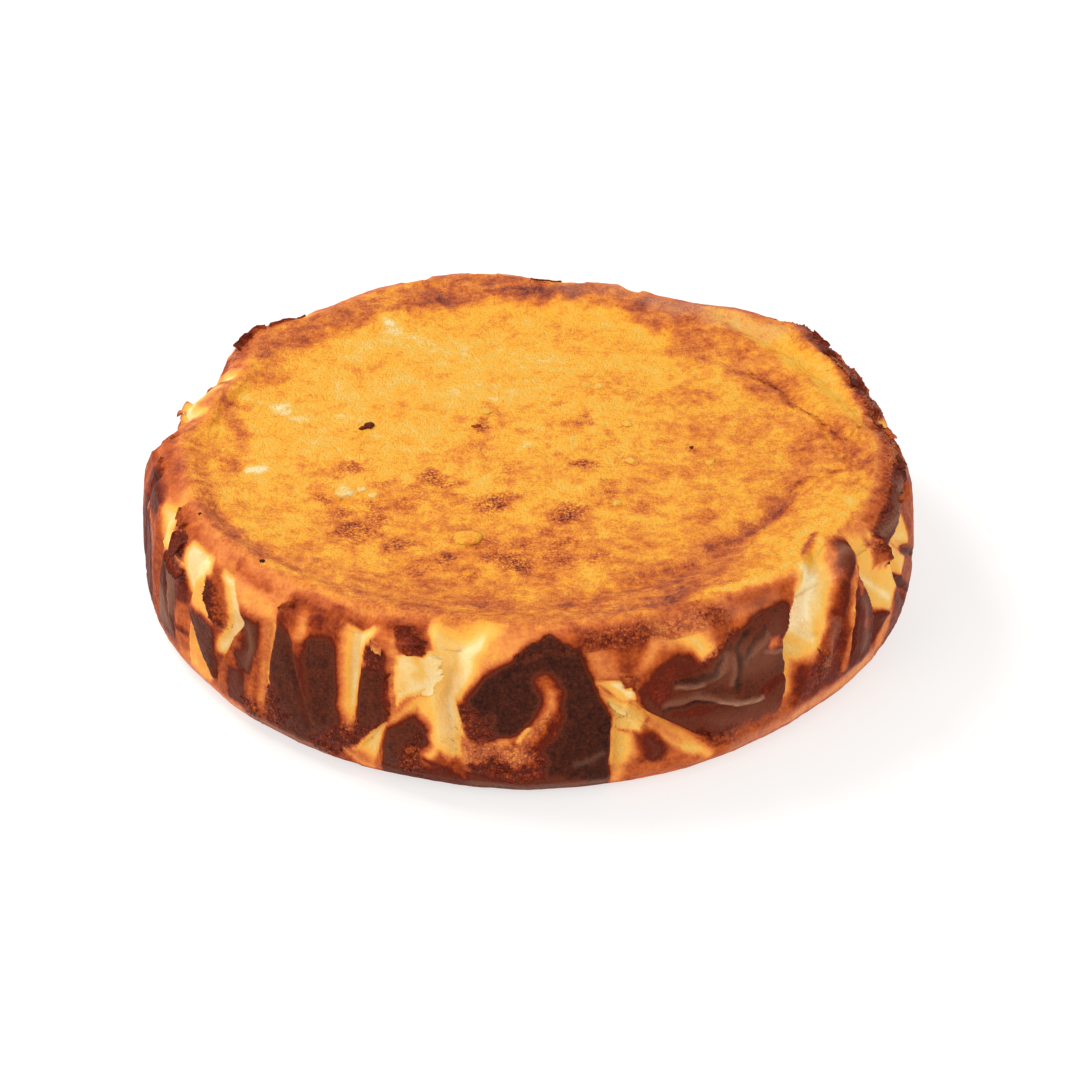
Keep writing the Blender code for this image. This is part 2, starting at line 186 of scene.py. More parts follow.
FOLDS = [
    ([(200.6, 56), (202.4, 37), (201.2, 18), (198.5, 5)], (3, 2.3, 0.9), (6, 7, 5), (1.6, 1, 1)),
    ([(213.8, 55), (213.2, 40), (210.4, 4)], (3.7, 2.3, 1.1), (6, 6.5, 6), (4.5, 1.6, 1.2)),
    ([(212.4, 28), (215, 18), (218.8, 7)], (1.4, 1.8, 1.6), (3, 5.5, 6), (0.9, 0.9, 0.9)),
    ([(219.6, 54), (223.4, 42.5), (225.9, 36.8), (223.6, 28), (218.8, 9)], (2.5, 4.1, 1.1), (6, 10, 3),
        (1.2, 1, 1.4)),
    ([(230.2, 54), (232.1, 42), (231, 26), (228.6, 6)], (1.1, 1.8, 1.6), (12, 6, 4.5), (2.4, 0.9, 1.4)),
    ([(245.4, 57), (245.3, 40), (244.6, 15)], (3.4, 3.9, 1.1), (6, 4.6, 2.6), (4.5, 3, 2.2)),
    ([(250.6, 22.5), (247.6, 13), (243, 2)], (1.6, 2.8, 1.8), (1, 1, 1.2), (3, 4.6, 4.2)),
    ([(254.4, 45), (253.4, 35), (252.4, 25)], (2.6, 3.2, 2.2), (7.5, 7, 4), (6.5, 7, 4.5)),
    ([(261, 58), (259.2, 42), (258.5, 31), (260.4, 6)], (3.9, 5.8, 1.8), (9, 2.6, 3), (8, 5, 2.4)),
    ([(262.2, 20), (265.6, 13.5), (270.2, 18)], (1.6, 1.6, 1.6), (4, 5, 3.4), (4, 5, 3.4)),
    ([(271.6, 39), (274, 33), (273.4, 26), (268, 17)], (0.9, 1.4, 2.5), (3, 3, 2.2), (3, 3, 2.2)),
    ([(276.4, 50), (279.1, 36.5), (281.6, 24.5), (281, 3)], (1.6, 3.7, 3.2), (0.9, 0.9, 0.9),
        (14, 8.5, 7)),
    ([(283, 32), (285.8, 25.5), (297, 7)], (3.4, 3.9, 2.3), (5, 5, 4.6), (1.8, 1.8, 1.5)),
    ([(288.2, 56), (292.6, 44), (295.6, 37.5)], (1.8, 3.4, 2.5), (7, 3.6, 2.4), (8, 7, 4)),
    ([(322.4, 60), (317.3, 53.7), (312.7, 47.5), (310.2, 42.5), (308.1, 35), (309.2, 20), (308.2, 7)],
        (2.8, 6.4, 1.4), (1.6, 0.8, 1.6), (9, 15, 3)),
    ([(323.6, 37), (322.4, 28), (322.6, 14)], (1.6, 2.8, 1.8), (3, 2.8, 2.5), (3, 3, 2.5)),
    ([(328, 55), (325.6, 41.5), (328.6, 28), (329.6, 9)], (3.2, 4.4, 1.1), (1.6, 0.9, 1), (10, 13, 5)),
    ([(332.8, 41.2), (340, 43.2), (352, 46.4)], (4.4, 4.1, 3), (5, 14, 12), (0.8, 0.8, 0.8)),
    ([(335.2, 39), (338.8, 27), (346.5, 8)], (3, 2.5, 1.4), (5, 4, 3), (1.2, 1.2, 2)),
    ([(336.4, 43), (342.5, 33), (355, 14)], (2.9, 2.5, 1.6), (4, 3, 3), (2.5, 1.4, 1.5)),
    ([(189.5, 52), (191, 34), (188.4, 8)], (2.3, 2.1, 0.9), (5, 5, 4), (1.4, 1, 1)),
    ([(180.2, 57), (179.4, 38), (181.2, 6)], (4.6, 2.8, 1.1), (4, 3, 3), (2, 1.2, 1.2)),
]

# these stand out of the side instead
RIDGES = [
    ([(217.2, 43), (219.4, 36), (221.6, 29.4)], (2.2, 2.4, 1.4), (1, 1, 1.2), (3, 3.6, 3)),
    ([(226.2, 36.8), (222.8, 24), (219.6, 11)], (1.6, 1.9, 1.1), (1, 2.5, 2.5), (5, 4, 4)),
    ([(235.6, 46), (236.3, 36), (237.4, 26), (240, 12)], (0.7, 1.4, 0.8), (3, 2.4, 2.5), (3, 4, 4)),
    ([(251.4, 6), (251.8, 18), (254.6, 25.5), (257.2, 18)], (1.1, 1.9, 1.1), (4, 4, 2), (4, 3, 2)),
    ([(289, 26.2), (293.6, 27.2), (300, 20.6), (305.2, 19)], (0.8, 2.3, 1.1), (2.4, 2, 1.8),
        (2.4, 2.4, 2)),
    ([(290.6, 31.4), (294.8, 30.2), (298.6, 33), (300.8, 40)], (0.7, 1.2, 0.8), (2, 2, 2), (2, 2, 2)),
    ([(300.2, 44), (299.9, 34), (300.4, 25)], (0.5, 1.2, 0.5), (2, 1.6, 1.6), (2, 1.6, 1.6)),
    ([(308, 42), (303.4, 37.5), (301.6, 32)], (0.5, 1.2, 0.7), (2, 2, 2), (2, 2, 2)),
    ([(326.4, 52), (320.6, 43), (317.4, 31), (316.6, 14)], (2.4, 2.6, 1.1), (4, 3.6, 3), (4, 3, 4)),
    ([(325.6, 46), (321.9, 40.4), (320.6, 29), (321.6, 10)], (1.4, 3.2, 1.1), (3, 2.6, 2.2),
        (2, 2, 2.2)),
    ([(331.4, 49), (332.4, 41), (332.9, 36.4)], (1.9, 3, 1.4), (3.4, 3.8, 2.6), (3, 1, 0.8)),
    ([(329.6, 24.4), (332.2, 21.4), (334.9, 20)], (1.1, 1.9, 0.8), (1.6, 3, 2), (3, 2.4, 1.2)),
    ([(315.4, 49), (313.4, 40), (314.6, 30)], (0.5, 1.2, 0.6), (4, 4, 3), (1.6, 1.6, 1.6)),
]

# the flats that lay on the tin, as (middle, half width) in degrees
FLATS = [(192, 7), (206, 5), (226.5, 4), (238, 6), (248, 3), (271, 9.5), (297, 11), (324, 4), (343, 7)]

# how far the cake drew in from the tin at some angles, as (at the rim, at the foot)
STAND_IN = {
    0: (3, 1.5), 4: (5, 2.5), 10: (4.6, 3), 18: (4.2, 3), 26: (2, 3), 34: (0.6, 3), 40: (-3, 3),
    46: (2.4, 3.5), 52: (4.2, 4), 58: (8.4, 5), 66: (10.2, 5), 74: (6.8, 4), 84: (8, 4), 90: (6.3, 3.5),
    97: (1, 2.5), 106: (0, 2), 118: (1.6, 2.5), 128: (4.4, 3.5), 134: (3.5, 4.5), 142: (0, 5),
    148: (3, 6), 154: (8, 7), 162: (9, 7), 168: (6.6, 6.5), 174: (7.6, 5.5), 178: (3.4, 2.5),
    181: (0.8, 0.5), 188: (1.8, 0), 200: (1, -0.4), 215: (0, 0.2), 225: (0, -0.4), 250: (0, -2.3),
    270: (0, -4.2), 290: (0, -2.3), 305: (0, 0), 315: (0, 1), 340: (0, 0.8), 356: (2, 0.5),
}

RIM_INNER = 94.5
RIM_SHIFT = 5.5
RIM_SHIFT_ANGLE = 218

# the creases of the top, with paths as (x, y)
TOP_CREASES = [
    ([(60, 54), (78, 33), (89, 12), (95, -17)], (0.8, 1.6, 0.6), (1.2, 1.2, 1.2), (9, 9, 6)),
    ([(82, -22), (72, -43), (50, -71), (2, -98)], (0.8, 1.7, 0.5), (5, 5, 4), (5, 6, 5)),
    ([(-96, -31), (-87, -57), (-52, -87)], (0.5, 1, 0.4), (4, 4, 4), (4, 4, 4)),
    ([(58, 83), (86, 51), (101, 17), (106, 1)], (1, 2.4, 1.4), (4, 6, 5), (4, 6, 5)),
]

BACK_START = 2.0
BACK_END = 174.0
BACK_PITCH = 11.5
BACK_SEED = 41


def back_folds():
    """Pleats round the hidden side: each starts at the rim or partway down, and slants a little."""
    draw = random.Random(BACK_SEED)
    between = draw.uniform
    folds = []
    ridges = []
    angle = BACK_START + BACK_PITCH / 2
    while angle < BACK_END:
        top = draw.choice([57, 55, 47])
        foot = between(4, 18)
        lean = between(-5, 5)
        kink = between(-1.5, 1.5)
        middle = 0.5 * (top + foot) + between(-5, 5)
        depth = between(2.2, 4.6)
        wide = between(5, 11)
        narrow = between(0.9, 3.5)
        west, east = draw.choice([(wide, narrow), (narrow, wide)])
        folds.append(Fold([(angle, top), (angle + lean / 2 + kink, middle), (angle + lean, foot)],
                          (0.8 * depth, depth, 0.4 * depth), (west, 0.8 * west, 0.5 * west),
                          (east, 0.8 * east, 0.5 * east)))
        crest = angle + between(0.4, 0.6) * BACK_PITCH
        peak = (crest, between(36, 46))
        end = (crest + between(-3, 3), between(10, 20))
        ridges.append(Fold([peak, end], (0.5, 1.2, 0.5), (2.5, 2.5, 2.5), (3, 3, 3)))
        angle += BACK_PITCH * between(0.8, 1.25)
    return folds, ridges


more_folds, more_ridges = back_folds()
print(len(FOLDS) + len(more_folds), "folds and", len(RIDGES) + len(more_ridges), "ridges")

# %% [markdown]
# ## From a path to a groove
# To press a fold into the crust, each point of the unrolled side finds the nearest stretch of the
# fold's path. The depth there falls away with the distance, faster on the steep side. All points
# are worked out at once as arrays, because a loop over a hundred thousand points would crawl.

# %% Define the fold
FAR = 1e9
END_FADE = 5.0
FOLD_POWER = 1.25


def smooth(value):
    """Ease from 0 to 1 with level ends."""
    value = np.clip(value, 0, 1)
    return value * value * (3 - 2 * value)


def wrapped(angle):
    """The same angle between -180 and 180."""
    return (angle + 180) % 360 - 180


def stretches(path, across, up):
    """Each straight stretch of a path: its length, and how far along, off and left of it a point is."""
    points = np.array(path, float)
    for start, end in zip(points[:-1], points[1:]):
        length = max(math.dist(start, end), 1e-6)
        step = (end - start) / length
        off_across = across - start[0]
        off_up = up - start[1]
        run = np.clip(off_across * step[0] + off_up * step[1], 0, length)
        gap = np.hypot(off_across - run * step[0], off_up - run * step[1])
        yield length, run, gap, off_up * step[0] - off_across * step[1]


def press(fold, across, up, fade=END_FADE):
    """How deep one fold is at each point (across, up), both in millimetres on the unrolled side."""
    best = np.full(across.shape, FAR)
    along = np.zeros(across.shape)
    side = np.ones(across.shape)
    gone = 0.0
    for length, run, gap, left in stretches(fold.path, across, up):
        closer = gap < best
        best = np.where(closer, gap, best)
        along = np.where(closer, gone + run, along)
        side = np.where(closer, left, side)
        gone += length
    share = along / gone
    stops = (0, 0.5, 1)
    reach = np.where(side > 0, np.interp(share, stops, fold.east), np.interp(share, stops, fold.west))
    ends = smooth(np.minimum(along, gone - along) / fade)
    return np.interp(share, stops, fold.depth) * ends * (1 - np.clip(best / reach, 0, 1) ** FOLD_POWER)


def pleats(folds, angle, station, fade=END_FADE):
    """The deepest of the folds at each point of the side, by angle and height up the crust."""
    deepest = np.zeros(angle.shape)
    for fold in (Fold(*row) for row in folds):
        about = fold.path[0][0]
        flat = fold._replace(path=[(wrapped(a - about) * DEGREE_ARC, h) for a, h in fold.path])
        pressed = press(flat, wrapped(angle - about) * DEGREE_ARC, station, fade=fade)
        deepest = np.maximum(deepest, pressed)
    return deepest


# %% [markdown]
# ## The turned blank
# A cake from a round tin is a turned form: a profile swept about an axis. A Screw modifier would
# do it, but every ring would have as many points as the widest one, and they would crowd at the
# middle of the top. Here each ring has its own number of points, which halves towards the middle.
# The points also stand closer at the front, where the pleats have their finest detail.

# %% Lay out the rings
WALL_COLUMNS = 768
WALL_SPACING = 0.76
TOP_SPACING = 1.35
BASE_SPACING = 14.0
FRONT = 270.0
FRONT_HALF = 88.0
FRONT_WEIGHT = 1.7
FRONT_EASE = 12
FEWEST_COLUMNS = 12
CROWDING = 1.35

PROFILE = [
    (0, DISH_HEIGHT), (60, DISH_HEIGHT + 0.3), (DISH_RADIUS, DISH_HEIGHT + 1.2),
    (RIM_INNER - 2.5, DISH_HEIGHT + 2.2), (RIM_INNER + 3.5, RIM_HEIGHT - 1.2),
    (RIM_INNER + 8.5, RIM_HEIGHT - 0.4), (RIM_RADIUS, RIM_HEIGHT), (RIM_RADIUS + 5, RIM_HEIGHT - 1.7),
    (SHOULDER_RADIUS, SHOULDER_HEIGHT),
    (TIN_RADIUS - 0.8, 40), (TIN_RADIUS, 30), (TIN_RADIUS, 20), (TIN_RADIUS - 0.6, 12),
    (TIN_RADIUS - 1.8, 6), (TIN_RADIUS - 4.2, 2.5), (BASE_RADIUS, 0), (0, 0),
]


def rings_of_profile():
    """(radius, height, columns) of each ring between the two middles, from the top to the base."""
    rings = []
    for start, end in zip(PROFILE[:-1], PROFILE[1:]):
        on_wall = start[0] > RIM_INNER - 4 and end[0] > 0
        spacing = WALL_SPACING if on_wall else (BASE_SPACING if end == (0, 0) else TOP_SPACING)
        count = max(1, round(math.dist(start, end) / spacing))
        for step in range(1, count + 1):
            radius = start[0] + (end[0] - start[0]) * step / count
            height = start[1] + (end[1] - start[1]) * step / count
            columns = WALL_COLUMNS
            roomy = CROWDING * math.tau * radius
            while not on_wall and columns > FEWEST_COLUMNS and columns * spacing > roomy:
                columns //= 2
            rings.append((radius, height, columns))
    return rings[:-1]


def even_out(rings):
    """Let the number of points change by no more than a half from one ring to the next."""
    counts = [ring[2] for ring in rings]
    widest = counts.index(max(counts))
    for index in range(widest - 1, -1, -1):
        counts[index] = max(counts[index], counts[index + 1] // 2)
    last = len(counts) - 1 - counts[::-1].index(max(counts))
    for index in range(last + 1, len(counts)):
        counts[index] = max(counts[index], counts[index - 1] // 2)
    return [(radius, height, count) for (radius, height, _), count in zip(rings, counts)]


def column_angles(count):
    """Angles round a ring, closer together over the front."""
    grid = np.linspace(0, 360, 3601)
    inside = FRONT_HALF + FRONT_EASE - np.abs(grid - FRONT)
    weight = 1 + (FRONT_WEIGHT - 1) * smooth(inside / (2 * FRONT_EASE))
    share = np.concatenate([[0], np.cumsum(0.5 * (weight[1:] + weight[:-1]))])
    share /= share[-1]
    return np.interp(np.arange(count) / count, share, grid)


rings = even_out(rings_of_profile())
print(len(rings), "rings of", min(r[2] for r in rings), "to", max(r[2] for r in rings), "points")

# %% Join the rings
blank_radius = [0.0]
blank_height = [DISH_HEIGHT]
blank_angle = [0.0]
starts = []
for radius, height, count in rings:
    starts.append(len(blank_radius))
    blank_radius += [radius] * count
    blank_height += [height] * count
    blank_angle += list(column_angles(count))
foot_middle = len(blank_radius)
blank_radius.append(0.0)
blank_height.append(0.0)
blank_angle.append(0.0)

faces = []
first_count = rings[0][2]
for step in range(first_count):
    faces.append((0, starts[0] + step, starts[0] + (step + 1) % first_count))
for (upper, lower, upper_start, lower_start) in zip(rings[:-1], rings[1:], starts[:-1], starts[1:]):
    over, under = upper[2], lower[2]
    for step in range(min(over, under)):
        after = (step + 1) % min(over, under)
        if over == under:
            faces.append((upper_start + step, lower_start + step, lower_start + after, upper_start + after))
        elif under > over:
            left, middle, right = 2 * step, 2 * step + 1, (2 * step + 2) % under
            faces.append((upper_start + step, lower_start + left, lower_start + middle))
            faces.append((upper_start + step, lower_start + middle, upper_start + after))
            faces.append((upper_start + after, lower_start + middle, lower_start + right))
        else:
            left, middle, right = 2 * step, 2 * step + 1, (2 * step + 2) % over
            faces.append((upper_start + left, lower_start + step, upper_start + middle))
            faces.append((upper_start + middle, lower_start + step, lower_start + after))
            faces.append((upper_start + middle, lower_start + after, upper_start + right))
last_count = rings[-1][2]
for step in range(last_count):
    faces.append((foot_middle, starts[-1] + (step + 1) % last_count, starts[-1] + step))

blank_radius = np.array(blank_radius)
blank_height = np.array(blank_height)
blank_angle = np.array(blank_angle)
print(len(blank_radius), "points,", sum(len(face) - 2 for face in faces), "triangles")

# %% [markdown]
# ## Shape the crust
# The blank is drawn in from the tin where the cake shrank, cut to flats where the paper lay
# against the tin, and pressed in by the folds. On the wall a fold moves the crust inwards, over
# the rim it moves it down, so each point slides along the profile's own outward direction.

# %% Move the points
FOLDS_END = 52
FOLDS_FADE = 12
TURN_FROM = 42
FOOT_TALL = 12
FOOT_CALM = 0.55
# rows of (height, size, seed)
SIDE_LUMPS = [(0.5, 24.0, 3.0)]
TOP_LUMPS = [(0.45, 30.0, 8.0), (0.2, 11.0, 5.0)]


def soft_noise(points, size, seed):
    """Smooth lumps of about the given size in millimetres, between -1 and 1."""
    shift = Vector((seed, 2.7 * seed, -1.3 * seed))
    return np.array([noise.noise(Vector(point) + shift) for point in points / size])


def lumps(points, rows):
    """Soft noises added up, from rows of (height, size, seed)."""
    return sum(height * soft_noise(points, size, seed) for height, size, seed in rows)


def station_of(radius, height):
    """How far up the crust a point is: its height on the wall, and on over the rim by arc length."""
    inwards = np.maximum(SHOULDER_RADIUS - radius, 0)
    rise = np.clip(height - SHOULDER_HEIGHT, 0, None)
    on_top = (height > DISH_HEIGHT - 1) & (radius < SHOULDER_RADIUS)
    return np.where(on_top, SHOULDER_HEIGHT + np.hypot(inwards, rise), height)


def stand_in(angle, height):
    """How far the cake has drawn in from the tin at each point of the side."""
    stops = sorted(STAND_IN)
    around = [stop - 360 for stop in stops] + stops + [stop + 360 for stop in stops]
    rim = [STAND_IN[stop % 360][0] for stop in around]
    foot = [STAND_IN[stop % 360][1] for stop in around]
    share = smooth(height / SHOULDER_HEIGHT)
    return np.interp(angle, around, rim) * share + np.interp(angle, around, foot) * (1 - share)


def flatten(angle, radius):
    """Cut the round of the wall to a plane over each flat."""
    for middle, half in FLATS:
        turn = np.radians(wrapped(angle - middle))
        plane = TIN_RADIUS * math.cos(math.radians(half)) / np.cos(np.clip(turn, -0.5, 0.5))
        radius = np.where(np.abs(turn) < math.radians(half), np.minimum(radius, plane + 0.2), radius)
    return radius


turn = np.radians(blank_angle)
blank_points = np.column_stack([blank_radius * np.cos(turn), blank_radius * np.sin(turn), blank_height])
station = station_of(blank_radius, blank_height)
on_side = smooth((blank_radius - DISH_RADIUS) / (RIM_RADIUS - DISH_RADIUS))
under = (blank_height < 0.01) & (blank_radius < BASE_RADIUS - 0.5)
on_top = blank_height > DISH_HEIGHT - 1

fold_depth = pleats(FOLDS + more_folds, blank_angle, station)
reach = 1 - smooth((station - FOLDS_END) / FOLDS_FADE)
relief = (pleats(RIDGES + more_ridges, blank_angle, station) - fold_depth) * reach
relief = np.where(under, 0, relief)
tilt = smooth((blank_height - TURN_FROM) / (RIM_HEIGHT - TURN_FROM))
tilt *= (blank_radius > DISH_RADIUS) * math.pi / 2

shift = RIM_SHIFT * np.cos(np.radians(blank_angle - RIM_SHIFT_ANGLE))
rim_move = shift * np.clip(blank_radius / RIM_INNER, 0, 1)
rim_move *= 1 - smooth((blank_radius - RIM_INNER) / (RIM_RADIUS - RIM_INNER))
radius = np.where(on_top, blank_radius + rim_move, blank_radius)
radius = np.where(blank_radius > RIM_RADIUS, flatten(blank_angle, radius), radius)
radius -= stand_in(blank_angle, blank_height) * on_side * ~under
foot_share = np.clip(1 - blank_height / FOOT_TALL, 0, 1) * (blank_radius > BASE_RADIUS - 0.5)
radius += relief * np.cos(tilt) * (1 - FOOT_CALM * foot_share)
radius += lumps(blank_points, SIDE_LUMPS) * on_side * ~under
height = blank_height + relief * np.sin(tilt)

flat_x = radius * np.cos(turn)
flat_y = radius * np.sin(turn)
for crease in TOP_CREASES:
    height -= np.where(on_top & (radius < SHOULDER_RADIUS - 2), press(Fold(*crease), flat_x, flat_y), 0)
height += np.where(on_top, lumps(blank_points, TOP_LUMPS), 0)
height = np.where(under, 0, np.maximum(height, 0))
print("deepest fold", round(float(fold_depth.max()), 1), "mm")

# %% [markdown]
# ## The brush
# Browning isn't noise: each mark has a place, because it shows where the paper touched. So the
# crust is painted as a painter would do it, with a list of dabs over an even first coat. A dab is
# an outline or a stroke with a tone, from 0 for cream to 1 for almost black, a softness for its
# edge, and a raggedness that shakes the edge with noise.

# %% Define the dab
Dab = namedtuple("Dab", "tone soft rag path wide", defaults=(0,))
EDGE_SPREAD = 1.5
FINEST_EDGE = 1.3
LOOK_AROUND = 9


def stroke_distance(across, up, path, wide):
    """Distance in millimetres outside a brush stroke whose half width runs from wide[0] to wide[1]."""
    total = sum(math.dist(*ends) for ends in zip(path, path[1:]))
    best = np.full(across.shape, FAR)
    gone = 0.0
    for length, run, gap, _ in stretches(path, across, up):
        half = wide[0] + (wide[1] - wide[0]) * (gone + run) / total
        best = np.minimum(best, gap - half)
        gone += length
    return best


def outline_distance(across, up, path):
    """Distance in millimetres from a closed outline, less than 0 inside it."""
    closed = path + path[:1]
    inside = np.zeros(across.shape, bool)
    best = np.full(across.shape, FAR)
    for start, end, (_, _, gap, _) in zip(closed, closed[1:], stretches(closed, across, up)):
        best = np.minimum(best, gap)
        if start[1] != end[1]:
            level = (start[1] > up) != (end[1] > up)
            crossing = start[0] + (up - start[1]) * (end[0] - start[0]) / (end[1] - start[1])
            inside ^= level & (across < crossing)
    return np.where(inside, -best, best)


def cover(dab, across, up, path):
    """How much of a dab's tone lands on each point, from 0 to 1."""
    if np.any(dab.wide):
        wide = dab.wide if isinstance(dab.wide, tuple) else (dab.wide, dab.wide)
        distance = stroke_distance(across, up, path, wide)
    else:
        distance = outline_distance(across, up, path)
    return 1 - smooth(distance / max(EDGE_SPREAD * dab.soft, FINEST_EDGE) + 0.5)


def paint_side(tone, angle, height, shake, rows):
    """Lay dabs whose paths are (angle, height) over the tone, in their order."""
    for dab in (Dab(*row) for row in rows):
        about = dab.path[0][0]
        path = [(wrapped(a - about) * DEGREE_ARC, h) for a, h in dab.path]
        across = wrapped(angle - about) * DEGREE_ARC
        west, east = min(path)[0] - LOOK_AROUND, max(path)[0] + LOOK_AROUND
        near = (across > west) & (across < east)
        there = across[near] + shake[0][near] * dab.rag
        above = height[near] + shake[1][near] * dab.rag
        share = cover(dab, there, above, path)
        tone[near] = tone[near] * (1 - share) + dab.tone * share
    return tone


def paint_top(tone, x, y, shake, rows):
    """Lay dabs whose paths are (x, y) seen from above over the tone, in their order."""
    for dab in (Dab(*row) for row in rows):
        share = cover(dab, x + shake[0] * dab.rag, y + shake[1] * dab.rag, dab.path)
        tone = tone * (1 - share) + dab.tone * share
    return tone


# %% [markdown]
# ## The tones of the side
# The list goes from the left end of what the front view sees to its right end. Broad dark dabs
# are flats that lay on hot paper, pale ones are pleats, and the thin strokes are creases.

